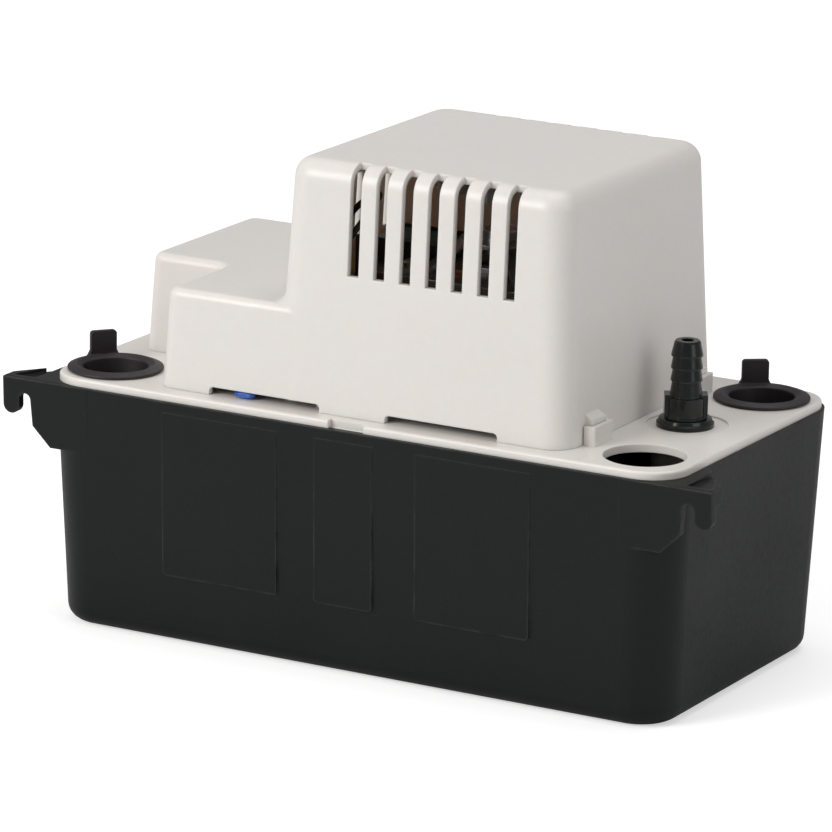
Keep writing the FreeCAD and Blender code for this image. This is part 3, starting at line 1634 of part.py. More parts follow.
def make_switch_bracket():
    """Steel channel on the lid that holds both switches between its cheeks."""
    body = new_body("switch_bracket", S.float_x, S.switch_front, lid_top)
    inner = S.switch_width + S.switch_spacing / 2 + 0.3
    outer = inner + S.switch_foot
    top = S.switch_height - 1
    channel = polygon(new_sketch(body, XZ, -1), [
        (-outer, 0), (outer, 0), (outer, top), (inner, top),
        (inner, S.switch_foot), (-inner, S.switch_foot), (-inner, top), (-outer, top),
    ])
    pad(body, channel, S.switch_depth - 1, back=True)
    holes = new_sketch(body, YZ)
    for y, z in screw_points():
        circle(holes, S.screw_radius + S.bolt_gap, y, z + S.switch_foot)
    pocket(body, holes, outer * 2 + 2, both=True)
    return keep(body)


def make_switch_screws():
    """Two long screws across the bracket and both switches, with a head and a nut each."""
    body = new_body("switch_screws", S.float_x, S.switch_front, lid_top + S.switch_foot)
    body.AllowCompound = True
    outer = S.switch_width + S.switch_spacing / 2 + 0.3 + S.switch_foot
    for y, z in screw_points():
        pad(body, circle(new_sketch(body, YZ), S.screw_radius, y, z), outer * 2 + 4, both=True)
    for side in (-1, 1):
        for y, z in screw_points():
            head = circle(new_sketch(body, YZ, side * (outer + 1)), S.screw_radius * 1.9, y, z)
            pad(body, head, 2, both=True)
    return keep(body)


def make_connector():
    """Crimped cap on the end of the motor's front lead, lying on the lid."""
    radius = float(S.connector_radius)
    length = float(S.connector_length)
    skirt = Part.makeCone(radius, radius * 0.8, length, Vector(0, length, 0), Vector(0, -1, 0))
    mouth = Part.makeCylinder(radius * 0.72, length * 0.25, Vector(0, length * 0.75, 0), Vector(0, 1, 0))
    shape = skirt.cut(mouth)
    rise = S.tank_height + S.lid_thickness + S.connector_radius
    return feature_part("crimp_connector", shape, S.connector_x, connector_front, rise)


def make_motor_leads():
    """Two insulated leads: coil to crimp connector, and coil to the pump switch."""
    left = float(S.motor_x - S.winding_left)
    height = float(stack_top) - 16
    spread = float(S.lead_spread)
    plug_x = float(S.connector_x)
    plug_z = float(lid_top + S.connector_radius)
    plug_y = float(connector_front + S.connector_length * 0.75)
    front = [
        Vector(left, -spread, height),
        Vector(left - 4, -spread, height),
        Vector(left + 2, -34, height + 12),
        Vector(left + 11.3, -38, height + 38.5),
        Vector(left + 25.6, -38, height + 48.3),
        Vector(left + 23, -46, height + 40),
        Vector(left + 1, -46, height + 10),
        Vector(plug_x + 4, -40, plug_z + 10),
        Vector(plug_x, -31, plug_z),
        Vector(plug_x, plug_y, plug_z),
    ]
    blade_x = float(switch_x(1) + S.terminal_width / 2)
    blade_y = float(S.switch_front + S.switch_depth + S.terminal_length / 2)
    blade_z = float(lid_top + S.switch_foot) + TERMINAL_HEIGHTS[1]
    back = [
        Vector(left, spread, height),
        Vector(left - 10, spread, height),
        Vector(left - 11, 24, height - 6),
        Vector(left - 9, 40, height - 12),
        Vector(left - 15, blade_y, blade_z),
        Vector(blade_x, blade_y, blade_z),
    ]
    radius = float(S.lead_radius)
    leads = [rod(front, radius), rod(back, radius)]
    return feature_part("motor_leads", Part.makeCompound(leads))


BUILDERS = [
    make_tank,
    make_lid,
    make_cover,
    make_fitting,
    make_fitting_ring,
    make_valve_seat,
    make_poppet,
    make_pipe,
    make_column,
    make_casing,
    make_casing_plate,
    make_casing_screws,
    make_impeller,
    make_shaft,
    make_slinger,
    make_laminations,
    make_shading_rings,
    make_bobbin,
    make_winding,
    make_rotor,
    make_rotor_rings,
    make_fan,
    make_motor_bolts,
    make_float_arm,
    make_pivot_pin,
    make_float,
    make_terminals,
    make_switch_bracket,
    make_switch_screws,
    make_connector,
    make_motor_leads,
]


def build_all():
    """Make every sub-part, then solve the document once more."""
    for builder in BUILDERS:
        builder()
    make_plug("inlet_plug_front", -left_inlet_x, -inlet_y, S.left_tab_angle)
    make_plug("inlet_plug_back", inlet_x, inlet_y, S.right_tab_angle)
    brackets = (("lower", post_top, -S.lower_bracket_drop), ("upper", stack_top, S.upper_bracket_rise))
    for name, height, drop in brackets:
        make_bracket(f"{name}_motor_bracket", height, drop)
        make_bearing(f"{name}_bearing", height, drop)
    for name, side in (("safety", -1), ("pump", 1)):
        make_switch(f"{name}_switch", side)
        make_switch_lever(f"{name}_switch_lever", side)
    doc.recompute()


def write_parts():
    """Check every object and sub-part, then write each to its own file."""
    failed = [item.Name for item in doc.Objects if {"Invalid", "Error"} & set(item.State)]
    if failed:
        raise RuntimeError(f"features failed: {failed}")
    os.makedirs("parts", exist_ok=True)
    for item in PARTS:
        shape = item.Shape
        if shape.isNull() or not shape.isValid() or not shape.Solids:
            raise RuntimeError(f"{item.Label} has no valid solid")
        shape.exportStep(os.path.join("parts", f"{item.Label}.step"))
        print(f"{item.Label}: {len(shape.Solids)} solids, {shape.Volume:.0f} mm3")


if __name__ == "__main__":
    build_all()
    write_parts()
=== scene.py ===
"""A condensate pump in a plain studio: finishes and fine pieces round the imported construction."""

import logging
import math
from dataclasses import dataclass
from enum import Enum
from typing import Callable, Dict, List, Optional, Sequence, Tuple

import bmesh
import bpy
from mathutils import Matrix, Vector


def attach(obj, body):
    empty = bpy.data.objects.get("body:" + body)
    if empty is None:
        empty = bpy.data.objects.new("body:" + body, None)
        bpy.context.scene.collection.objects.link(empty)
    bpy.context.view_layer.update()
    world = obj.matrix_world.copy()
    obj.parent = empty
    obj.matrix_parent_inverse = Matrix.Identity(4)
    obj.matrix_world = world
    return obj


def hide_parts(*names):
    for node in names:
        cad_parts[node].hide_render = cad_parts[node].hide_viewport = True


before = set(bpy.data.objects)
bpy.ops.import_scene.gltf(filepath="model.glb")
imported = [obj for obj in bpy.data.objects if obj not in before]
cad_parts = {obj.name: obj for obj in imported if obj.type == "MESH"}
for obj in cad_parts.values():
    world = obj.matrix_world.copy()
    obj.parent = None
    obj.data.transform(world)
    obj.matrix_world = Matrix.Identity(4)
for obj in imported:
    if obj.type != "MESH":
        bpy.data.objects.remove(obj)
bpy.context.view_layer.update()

LOG = logging.getLogger("condensate_pump")
MM = 0.001

Colour = Tuple[float, float, float]
Point = Tuple[float, float, float]
Band = Tuple[float, float]

WHITE: Colour = (1.0, 1.0, 1.0)


class Grain(Enum):
    """Relief that a mould, a mill or a wrapping leaves on a surface."""

    SATIN = "satin"
    BRUSHED = "brushed"
    LAMINATED = "laminated"
    TAPED = "taped"


def screen(red: int, green: int, blue: int) -> Colour:
    """Turn screen values into the linear colour that renders as them.

    Args:
        red: Red channel, 0 to 255.
        green: Green channel, 0 to 255.
        blue: Blue channel, 0 to 255.

    Returns:
        The linear colour.
    """
    def channel(value: int) -> float:
        """Undo the screen curve of one channel."""
        part = value / 255
        return part / 12.92 if part <= 0.04045 else ((part + 0.055) / 1.055) ** 2.4

    return channel(red), channel(green), channel(blue)


class Wiring:
    """Short calls for adding and linking the nodes of one tree."""

    def __init__(self, tree: bpy.types.NodeTree) -> None:
        """Keep the tree and empty it."""
        self.tree = tree
        tree.nodes.clear()

    def put(self, socket: bpy.types.NodeSocket, value: object) -> None:
        """Link a socket to another one, or set its plain value.

        Args:
            socket: The input that is fed.
            value: An output socket, a number, a colour or a vector.
        """
        if isinstance(value, bpy.types.NodeSocket):
            self.tree.links.new(value, socket)
        elif socket.type == "RGBA" and len(value) == 3:
            socket.default_value = (*value, 1.0)
        else:
            socket.default_value = value

    def add(self, kind: str, feeds: Optional[Dict[object, object]] = None,
            **options: object) -> bpy.types.Node:
        """Add a node, set its options and feed its inputs.

        Args:
            kind: Node type without the ShaderNode prefix, or a type name in full.
            feeds: Input name or index to a socket, number, colour or vector.
            options: Properties of the node itself.

        Returns:
            The new node.
        """
        node = self.tree.nodes.new(kind if kind.startswith("NodeGroup") else f"ShaderNode{kind}")
        for name, value in options.items():
            setattr(node, name, value)
        for name, value in (feeds or {}).items():
            self.put(node.inputs[name], value)
        return node

    def math(self, operation: str, first: object, second: object = 0.0) -> bpy.types.NodeSocket:
        """Add a Math node and return its result."""
        return self.add("Math", {0: first, 1: second}, operation=operation).outputs[0]

    def mix(self, factor: object, first: object, second: object) -> bpy.types.NodeSocket:
        """Blend two colours and return the result."""
        return self.add("Mix", {0: factor, 6: first, 7: second}, data_type="RGBA").outputs[2]

    def span(self, value: object, low: float, high: float,
             start: object, end: object) -> bpy.types.NodeSocket:
        """Map a range of values onto another, held at its ends, and return the result."""
        feeds = {"Value": value, "From Min": low, "From Max": high, "To Min": start, "To Max": end}
        return self.add("MapRange", feeds).outputs[0]


@dataclass(frozen=True)
class SharedEffect:
    """A shader node group that several finishes use, built once."""

    name: str
    inputs: Tuple[Tuple[str, str], ...]
    outputs: Tuple[Tuple[str, str], ...]
    fill: Callable[[Wiring, bpy.types.Node, bpy.types.Node], None]

    def tree(self) -> bpy.types.NodeTree:
        """Build the group, or return the one that is already there.

        Returns:
            The node group.
        """
        found = bpy.data.node_groups.get(self.name)
        if found:
            return found
        tree = bpy.data.node_groups.new(self.name, "ShaderNodeTree")
        for name, kind in self.inputs:
            tree.interface.new_socket(name=name, in_out="INPUT", socket_type=f"NodeSocket{kind}")
        for name, kind in self.outputs:
            tree.interface.new_socket(name=name, in_out="OUTPUT", socket_type=f"NodeSocket{kind}")
        wires = Wiring(tree)
        self.fill(wires, wires.add("NodeGroupInput"), wires.add("NodeGroupOutput"))
        return tree

    def place(self, wires: Wiring, feeds: Dict[object, object]) -> bpy.types.Node:
        """Put the group into a material with that material's own values.

        Args:
            wires: The material's tree.
            feeds: Input name to value or socket.

        Returns:
            The group node.
        """
        node = wires.add("Group")
        node.node_tree = self.tree()
        for name, value in feeds.items():
            wires.put(node.inputs[name], value)
        return node


# A band holds the two values between which a mask or a share runs from one end to the other.
SOFT_SAMPLES = 6
NOISE_BAND: Band = (0.35, 0.65)
CLOUD_SHARE = 0.6
WAVE_SCALE = 26.0

# Edge wear and painted edge highlight start where the eased normal leaves the surface's own, and patches of
# them are thinner.
EDGE_TURN: Band = (0.999, 0.86)
EDGE_BREAK: Band = (0.38, 0.62)
LEAST_WEAR_AND_HIGHLIGHT = 0.25

# Dust lies on what faces up and in corners within the reach, in metres, and drifts into patches.
WALL_FACING = 0.3
WALL_DUST = 0.15
CORNER_REACH = 0.012
CORNER_OPENNESS: Band = (0.95, 0.35)
OPEN_DUST = 0.25
DRIFT_SCALE = 60.0
DRIFT_BAND: Band = (0.4, 0.62)
THIN_DUST = 0.2


def fill_mottle(wires: Wiring, entry: bpy.types.Node, leave: bpy.types.Node) -> None:
    """Wire slow clouds and fine specks of a second colour over the surface.

    Args:
        wires: The group's tree.
        entry: The group's input node.
        leave: The group's output node.
    """
    place = wires.add("TexCoord").outputs["Object"]
    slow = wires.add("TexNoise", {"Vector": place, "Scale": entry.outputs["Cloud scale"], "Detail": 3.0})
    fine = wires.add("TexNoise", {"Vector": place, "Scale": entry.outputs["Speck scale"], "Detail": 4.0,
                                  "Roughness": 0.7})
    cloud = wires.span(slow.outputs[0], *NOISE_BAND, 0.0, 1.0)
    speck = wires.span(fine.outputs[0], *NOISE_BAND, 0.0, 1.0)
    share = wires.math("ADD", wires.math("MULTIPLY", cloud, CLOUD_SHARE),
                       wires.math("MULTIPLY", speck, 1 - CLOUD_SHARE))
    amount = wires.math("MULTIPLY", share, entry.outputs["Amount"])
    wires.put(leave.inputs["Colour"], wires.mix(amount, entry.outputs["Colour"], entry.outputs["Shade"]))
    wires.put(leave.inputs["Mask"], share)


def fill_relief(wires: Wiring, entry: bpy.types.Node, leave: bpy.types.Node) -> None:
    """Wire rounded edges and a fine grain into one normal, with a long slow waviness below it.

    Args:
        wires: The group's tree.
        entry: The group's input node.
        leave: The group's output node.
    """
    place = wires.add("TexCoord").outputs["Object"]
    stretched = wires.add("VectorMath", {0: place, 1: entry.outputs["Stretch"]},
                          operation="MULTIPLY").outputs[0]
    edge = wires.add("Bevel", {"Radius": entry.outputs["Edge radius"]}, samples=SOFT_SAMPLES)
    wave = wires.add("TexNoise", {"Vector": place, "Scale": WAVE_SCALE, "Detail": 1.0})
    bent = wires.add("Bump", {"Height": wave.outputs[0], "Strength": 1.0, "Distance": entry.outputs["Wave"],
                              "Normal": edge.outputs[0]})
    grain = wires.add("TexNoise", {"Vector": stretched, "Scale": entry.outputs["Scale"], "Detail": 3.0,
                                   "Roughness": 0.6})
    fine = wires.add("Bump", {"Height": grain.outputs[0], "Strength": 1.0, "Distance": entry.outputs["Depth"],
                              "Normal": bent.outputs[0]})
    wires.put(leave.inputs["Normal"], fine.outputs[0])


def fill_edge_wear_and_highlight(wires: Wiring, entry: bpy.types.Node, leave: bpy.types.Node) -> None:
    """Wire a broken mask along outer edges, where handling polishes or pales them and a lighter colour is
    painted on as a highlight.

    Args:
        wires: The group's tree.
        entry: The group's input node.
        leave: The group's output node.
    """
    surface = wires.add("NewGeometry").outputs["Normal"]
    eased = wires.add("Bevel", {"Radius": entry.outputs["Reach"]}, samples=SOFT_SAMPLES).outputs[0]
    turn = wires.add("VectorMath", {0: surface, 1: eased}, operation="DOT_PRODUCT").outputs["Value"]
    place = wires.add("TexCoord").outputs["Object"]
    broken = wires.add("TexNoise", {"Vector": place, "Scale": entry.outputs["Break scale"], "Detail": 4.0})
    strength = wires.span(turn, *EDGE_TURN, 0.0, 1.0)
    patches = wires.span(broken.outputs[0], *EDGE_BREAK, LEAST_WEAR_AND_HIGHLIGHT, 1.0)
    wires.put(leave.inputs["Mask"], wires.math("MULTIPLY", strength, patches))


def fill_dust(wires: Wiring, entry: bpy.types.Node, leave: bpy.types.Node) -> None:
    """Wire a mask of settled dust: more on upward faces and in corners, less on open walls.

    Args:
        wires: The group's tree.
        entry: The group's input node.
        leave: The group's output node.
    """
    facing = wires.add("SeparateXYZ", {0: wires.add("NewGeometry").outputs["Normal"]}).outputs["Z"]
    level = wires.span(facing, WALL_FACING, 1.0, WALL_DUST, 1.0)
    openness = wires.add("AmbientOcclusion", {"Distance": CORNER_REACH}, samples=SOFT_SAMPLES).outputs["AO"]
    corner = wires.span(openness, *CORNER_OPENNESS, OPEN_DUST, 1.0)
    place = wires.add("TexCoord").outputs["Object"]
    drift = wires.add("TexNoise", {"Vector": place, "Scale": DRIFT_SCALE, "Detail": 5.0,
                                   "Roughness": 0.65})
    patches = wires.span(drift.outputs[0], *DRIFT_BAND, THIN_DUST, 1.0)
    held = wires.math("MULTIPLY", wires.math("MULTIPLY", level, corner), patches)
    wires.put(leave.inputs["Mask"], wires.math("MULTIPLY", held, entry.outputs["Amount"]))


MOTTLE = SharedEffect(
    "colour_mottle",
    (("Colour", "Color"), ("Shade", "Color"), ("Amount", "Float"), ("Cloud scale", "Float"),
     ("Speck scale", "Float")),
    (("Colour", "Color"), ("Mask", "Float")),
    fill_mottle,
)
RELIEF = SharedEffect(
    "surface_relief",
    (("Scale", "Float"), ("Depth", "Float"), ("Wave", "Float"), ("Edge radius", "Float"),
     ("Stretch", "Vector")),
    (("Normal", "Vector"),),
    fill_relief,
)
WEAR_AND_HIGHLIGHT = SharedEffect(
    "edge_wear_and_highlight", (("Reach", "Float"), ("Break scale", "Float")), (("Mask", "Float"),), fill_edge_wear_and_highlight,
)
DUST = SharedEffect("settled_dust", (("Amount", "Float"),), (("Mask", "Float"),), fill_dust)

DUST_COLOUR = screen(150, 144, 134)
DUST_ROUGHENS = 0.3

# Edge wear and painted edge highlight spread this many edge radii.
WEAR_AND_HIGHLIGHT_SPREAD = 2.2
WEAR_AND_HIGHLIGHT_BREAK_SCALE = 140.0
COAT_ROUGHNESS = 0.12

# How far red, green and blue light travels inside the white mouldings, in metres.
GLOW_REACH = (0.0044, 0.0031, 0.0024)

# The iron's sheets in metres, and the dark joint that shows between two of them.
SHEET_PITCH = 0.00065
JOINT_BAND: Band = (0.32, 0.48)
JOINT_COLOUR: Colour = (0.01, 0.01, 0.011)
JOINT_ROUGHENS = 0.3

# How much each kind of grain is drawn out along x, y and z.
STRETCHES: Dict[Grain, Point] = {
    Grain.SATIN: (1.0, 1.0, 1.0),
    Grain.BRUSHED: (1.0, 1.0, 0.06),
    Grain.LAMINATED: (0.15, 0.15, 1.0),
    Grain.TAPED: (1.0, 0.2, 1.0),
}


@dataclass(frozen=True)
class Finish:
    """How one material of the pump looks: its colours, gloss, relief, edge wear with a painted edge
    highlight, and dust.
    """

    name: str
    colour: Colour
    shade: Colour
    roughness: float
    metallic: float = 0.0
    grain: Grain = Grain.SATIN
    mottle: float = 0.35
    cloud_scale: float = 22.0
    speck_scale: float = 420.0
    spread: float = 0.07
    grain_scale: float = 1500.0
    grain_depth: float = 0.000012
    wave: float = 0.00002
    edge_radius: float = 0.0005
    worn_and_highlight: Optional[Colour] = None
    wear_and_highlight: float = 0.0
    dust: float = 0.0
    coat: float = 0.0
    specular: float = 0.5
    glow: float = 0.0

    def material(self) -> bpy.types.Material:
        """Build the material, or return the one already built.

        Returns:
            The material.
        """
        found = bpy.data.materials.get(self.name)
        if found:
            return found
        made = bpy.data.materials.new(self.name)
        made.use_nodes = True
        wires = Wiring(made.node_tree)
        mottle = MOTTLE.place(wires, {"Colour": self.colour, "Shade": self.shade, "Amount": self.mottle,
                                      "Cloud scale": self.cloud_scale, "Speck scale": self.speck_scale})
        relief = RELIEF.place(wires, {"Scale": self.grain_scale, "Depth": self.grain_depth,
                                      "Wave": self.wave, "Edge radius": self.edge_radius,
                                      "Stretch": STRETCHES[self.grain]})
        colour = mottle.outputs["Colour"]
        rough = wires.span(mottle.outputs["Mask"], 0.0, 1.0, self.roughness - self.spread,
                           self.roughness + self.spread)
        if self.grain is Grain.LAMINATED:
            colour, rough = self.sheets(wires, colour, rough)
        # Edges take a lighter colour: partly wear, partly a painted highlight where edges catch the light.
        if self.wear_and_highlight:
            edge = WEAR_AND_HIGHLIGHT.place(wires, {"Reach": self.edge_radius * WEAR_AND_HIGHLIGHT_SPREAD,
                                      "Break scale": WEAR_AND_HIGHLIGHT_BREAK_SCALE})
            share = wires.math("MULTIPLY", edge.outputs["Mask"], self.wear_and_highlight)
            colour = wires.mix(share, colour, self.worn_and_highlight or self.shade)
        if self.dust:
            dust = DUST.place(wires, {"Amount": self.dust})
            colour = wires.mix(dust.outputs["Mask"], colour, DUST_COLOUR)
            rough = wires.math("ADD", rough, wires.math("MULTIPLY", dust.outputs["Mask"], DUST_ROUGHENS))
        shader = wires.add("BsdfPrincipled", {
            "Base Color": colour, "Roughness": rough, "Metallic": self.metallic,
            "Normal": relief.outputs["Normal"], "Coat Weight": self.coat, "Coat Roughness": COAT_ROUGHNESS,
            "Specular IOR Level": self.specular, "Subsurface Weight": self.glow,
            "Subsurface Radius": GLOW_REACH, "Subsurface Scale": 1.0,
        })
        end = wires.add("OutputMaterial")
        wires.put(end.inputs["Surface"], shader.outputs[0])
        return made

    def sheets(self, wires: Wiring, colour: object, rough: object) -> Tuple[object, object]:
        """Cut the surface into the thin sheets of a stack, seen on its sides.

        Args:
            wires: The material's tree.
            colour: Colour so far.
            rough: Roughness so far.

        Returns:
            The colour and roughness with the sheets' joints in them.
        """
        place = wires.add("SeparateXYZ", {0: wires.add("TexCoord").outputs["Object"]})
        phase = wires.math("FRACT", wires.math("DIVIDE", place.outputs["Z"], SHEET_PITCH))
        from_middle = wires.math("ABSOLUTE", wires.math("SUBTRACT", phase, 0.5))
        joint = wires.span(from_middle, *JOINT_BAND, 0.0, 1.0)
        colour = wires.mix(joint, colour, JOINT_COLOUR)
        rough = wires.math("ADD", rough, wires.math("MULTIPLY", joint, JOINT_ROUGHENS))
        return colour, rough


# The tank's lighter edge colour is a painted highlight along its panel edges and steps, with some wear.
TANK = Finish(
    "tank_moulded_black", screen(9, 13, 12), screen(17, 20, 19), roughness=0.44, mottle=0.5,
    cloud_scale=14.0, grain_scale=1300.0, grain_depth=0.00007, wave=0.00006, edge_radius=0.0006,
    worn_and_highlight=screen(86, 88, 85), wear_and_highlight=0.35, dust=0.04, specular=0.26,
)
# The white mouldings' lighter edge colour is a painted highlight along rims and edges, with some wear.
COVER = Finish(
    "cover_moulded_white", screen(229, 224, 220), screen(222, 216, 211), roughness=0.38, mottle=0.55,
    cloud_scale=9.0, grain_scale=900.0, grain_depth=0.00001, wave=0.00004, edge_radius=0.0007,
    worn_and_highlight=screen(238, 235, 231), wear_and_highlight=0.45, dust=0.04, glow=0.4,
)
LID = Finish(
    "lid_moulded_white", screen(228, 223, 218), screen(219, 213, 207), roughness=0.34, mottle=0.3,
    cloud_scale=12.0, speck_scale=700.0, spread=0.008, grain_scale=900.0, grain_depth=0.000006,
    wave=0.00003, edge_radius=0.0004, worn_and_highlight=screen(238, 235, 231), wear_and_highlight=0.4, glow=0.2,
)
FITTING = Finish(
    "fitting_gloss_black", screen(4, 10, 8), screen(9, 15, 13), roughness=0.22, mottle=0.4,
    grain_depth=0.000005, wave=0.00003, edge_radius=0.0003, worn_and_highlight=screen(84, 92, 87), wear_and_highlight=0.35, coat=0.1,
    specular=0.4,
)
RUBBER = Finish(
    "plug_satin_rubber", screen(27, 21, 26), screen(37, 30, 35), roughness=0.52, mottle=0.5, cloud_scale=45.0,
    grain_scale=1700.0, grain_depth=0.00003, edge_radius=0.0005, worn_and_highlight=screen(66, 58, 62), wear_and_highlight=0.35, dust=0.1,
)
SEAL = Finish(
    "seal_matte_rubber", screen(24, 24, 25), screen(38, 38, 39), roughness=0.68, grain_depth=0.00003,
    dust=0.2,
)
VALVE = Finish(
    "valve_natural_plastic", screen(214, 213, 204), screen(199, 197, 186), roughness=0.36,
    grain_depth=0.000008,
)
PUMP = Finish(
    "pump_moulded_grey", screen(52, 53, 54), screen(70, 71, 71), roughness=0.48, mottle=0.6, cloud_scale=30.0,
    grain_depth=0.00003, worn_and_highlight=screen(104, 104, 103), wear_and_highlight=0.3, dust=0.3,
)
STEEL = Finish(
    "zinc_plated_steel", screen(176, 178, 180), screen(140, 143, 147), roughness=0.34, metallic=1.0,
    mottle=0.7, cloud_scale=60.0, speck_scale=900.0, spread=0.1, grain=Grain.BRUSHED, grain_depth=0.00001,
    edge_radius=0.0003, worn_and_highlight=screen(206, 207, 208), wear_and_highlight=0.5,
)
IRON = Finish(
    "laminated_motor_iron", screen(118, 116, 113), screen(88, 80, 72), roughness=0.44, metallic=1.0,
    mottle=0.75, cloud_scale=45.0, grain=Grain.LAMINATED, grain_depth=0.00003, edge_radius=0.0003,
    worn_and_highlight=screen(196, 192, 186), wear_and_highlight=0.8,
)
ALUMINIUM = Finish(
    "cast_rotor_aluminium", screen(196, 197, 198), screen(160, 161, 163), roughness=0.42, metallic=1.0,
    grain_depth=0.00005, mottle=0.6,
)
COPPER = Finish(
    "varnished_copper", screen(120, 76, 54), screen(84, 50, 38), roughness=0.3, metallic=1.0, mottle=0.6,
    cloud_scale=80.0, grain=Grain.BRUSHED,
)
BRONZE = Finish(
    "sintered_bronze", screen(166, 132, 84), screen(116, 92, 60), roughness=0.45, metallic=1.0, mottle=0.7,
    speck_scale=1400.0, grain_depth=0.00003,
)
BRASS = Finish(
    "terminal_brass", screen(208, 186, 128), screen(170, 146, 92), roughness=0.28, metallic=1.0, mottle=0.5,
)
BOBBIN = Finish(
    "bobbin_black_nylon", screen(32, 33, 33), screen(46, 46, 45), roughness=0.42, grain_depth=0.00002,
)
TAPE = Finish(
    "coil_green_tape", screen(34, 104, 88), screen(18, 64, 56), roughness=0.4, mottle=0.7, cloud_scale=120.0,
    grain=Grain.TAPED, grain_scale=900.0, grain_depth=0.00006, edge_radius=0.0002, worn_and_highlight=screen(70, 120, 108),
    wear_and_highlight=0.5,
)
FAN = Finish(
    "fan_grey_brown_plastic", screen(150, 142, 128), screen(122, 114, 101), roughness=0.42, dust=0.4,
)
FLOAT = Finish(
    "float_grey_foam", screen(66, 66, 68), screen(92, 92, 94), roughness=0.72, mottle=0.8, speck_scale=700.0,
    grain_scale=800.0, grain_depth=0.0001,
)
ARM = Finish(
    "arm_natural_plastic", screen(208, 205, 196), screen(190, 186, 176), roughness=0.4, grain_depth=0.00001,
)
SWITCH = Finish(
    "switch_black_phenolic", screen(34, 33, 33), screen(50, 48, 47), roughness=0.34, grain_depth=0.00001,
    worn_and_highlight=screen(80, 78, 76), wear_and_highlight=0.3,
)
CONNECTOR = Finish(
    "connector_blue_nylon", screen(28, 86, 176), screen(18, 62, 140), roughness=0.3, mottle=0.4,
    edge_radius=0.0003, coat=0.2,
)
LEAD = Finish(
    "lead_black_insulation", screen(22, 22, 23), screen(34, 34, 35), roughness=0.34, grain_depth=0.000006,
)


@dataclass
class SubAssembly:
    """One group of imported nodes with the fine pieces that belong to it."""

    title: str
    body: str = "base"

    def dress(self, nodes: Sequence[str], finish: Finish) -> None:
        """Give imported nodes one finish.

        Args:
            nodes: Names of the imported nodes.
            finish: The finish that they all take.
        """
        for name in nodes:
            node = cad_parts[name]
            for place in node.material_slots:
                place.material = finish.material()
            LOG.info("%s: %s in %s", self.title, name, finish.name)

    def piece(self, name: str, mesh: bpy.types.Mesh, finish: Finish, slot: str) -> bpy.types.Object:
        """Link a finished mesh as a piece that rides on this group's body.

        Args:
            name: Name of the piece.
            mesh: Its mesh, in metres in the pump's frame.
            finish: Its finish.
            slot: Name of a material slot in the record; not used.

        Returns:
            The new object.
        """
        made = bpy.data.objects.new(name, mesh)
        bpy.context.scene.collection.objects.link(made)
        mesh.materials.append(finish.material())
        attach(made, self.body)
        LOG.info("%s: piece %s with %d faces", self.title, name, len(mesh.polygons))
        return made

    def build(self) -> None:
        """Dress the group's nodes and add its pieces."""
        raise NotImplementedError


QUAD_CORNERS = 4


def skin_mesh(name: str, rings: Sequence[Sequence[Point]], looped: bool) -> bpy.types.Mesh:
    """Skin rings of equal count, one after the other, into a closed form.

    Args:
        name: Name of the mesh.
        rings: Rings of points in their order.
        looped: Whether the last ring joins the first; if not, a flat face closes each end.

    Returns:
        The closed mesh, smooth but for its end faces.
    """
    form = bmesh.new()
    grid = [[form.verts.new(point) for point in ring] for ring in rings]
    following = grid[1:] + grid[:1] if looped else grid[1:]
    for near, far in zip(grid, following):
        for i, start in enumerate(near):
            after = (i + 1) % len(near)
            form.faces.new((start, near[after], far[after], far[i]))
    if not looped:
        form.faces.new(grid[0])
        form.faces.new(grid[-1])
    bmesh.ops.recalc_face_normals(form, faces=form.faces)
    mesh = bpy.data.meshes.new(name)
    form.to_mesh(mesh)
    form.free()
    for face in mesh.polygons:
        face.use_smooth = len(face.vertices) == QUAD_CORNERS
    return mesh


def node_box(name: str) -> Tuple[Vector, Vector]:
    """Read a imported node's box in the pump's frame.

    Args:
        name: Name of the node.

    Returns:
        Its lowest and highest corner.
    """
    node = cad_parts[name]
    corners = [node.matrix_world @ Vector(corner) for corner in node.bound_box]
    return (Vector([min(corner[axis] for corner in corners) for axis in range(3)]),
            Vector([max(corner[axis] for corner in corners) for axis in range(3)]))


# Share of each quarter of the outline that runs along one flat, with the corner between two of them.
FLAT_SHARE = 0.25


def rounded_outline(half_x: float, half_z: float, corner: float, share: float) -> Tuple[Vector, Vector]:
    """Walk round a rectangle with round corners.

    Args:
        half_x: Half its length.
        half_z: Half its height.
        corner: Radius of its corners.
        share: How far round to walk, 0 to 1, each quarter over one corner and the flats beside it.

    Returns:
        The point and the outward direction there.
    """
    quarter, part = divmod(share * 4, 1)
    flip = (1, -1, -1, 1)[int(quarter)], (1, 1, -1, -1)[int(quarter)]
    if int(quarter) % 2:
        part = 1 - part
    bend = math.pi / 2 * min(1.0, max(0.0, (part - FLAT_SHARE) / (1 - 2 * FLAT_SHARE)))
    along_x = (half_x - corner) * min(1.0, (1 - part) / FLAT_SHARE)
    along_z = (half_z - corner) * min(1.0, part / FLAT_SHARE)
    out = Vector((math.cos(bend) * flip[0], math.sin(bend) * flip[1]))
    return Vector((along_x * flip[0], along_z * flip[1])) + out * corner, out


@dataclass
class Reservoir(SubAssembly):
    """The black tank with its panels and hanging ears."""

    title: str = "reservoir"

    def build(self) -> None:
        """Dress the tank."""
        self.dress(["tank"], TANK)


@dataclass
class Lid(SubAssembly):
    """The white lid with its catches, posts and guides."""

    title: str = "lid"

    def build(self) -> None:
        """Dress the lid."""
        self.dress(["tank_lid"], LID)


@dataclass
class Cover(SubAssembly):
    """The stepped and vented motor cover."""

    title: str = "cover"

    def build(self) -> None:
        """Dress the cover."""
        self.dress(["motor_cover"], COVER)


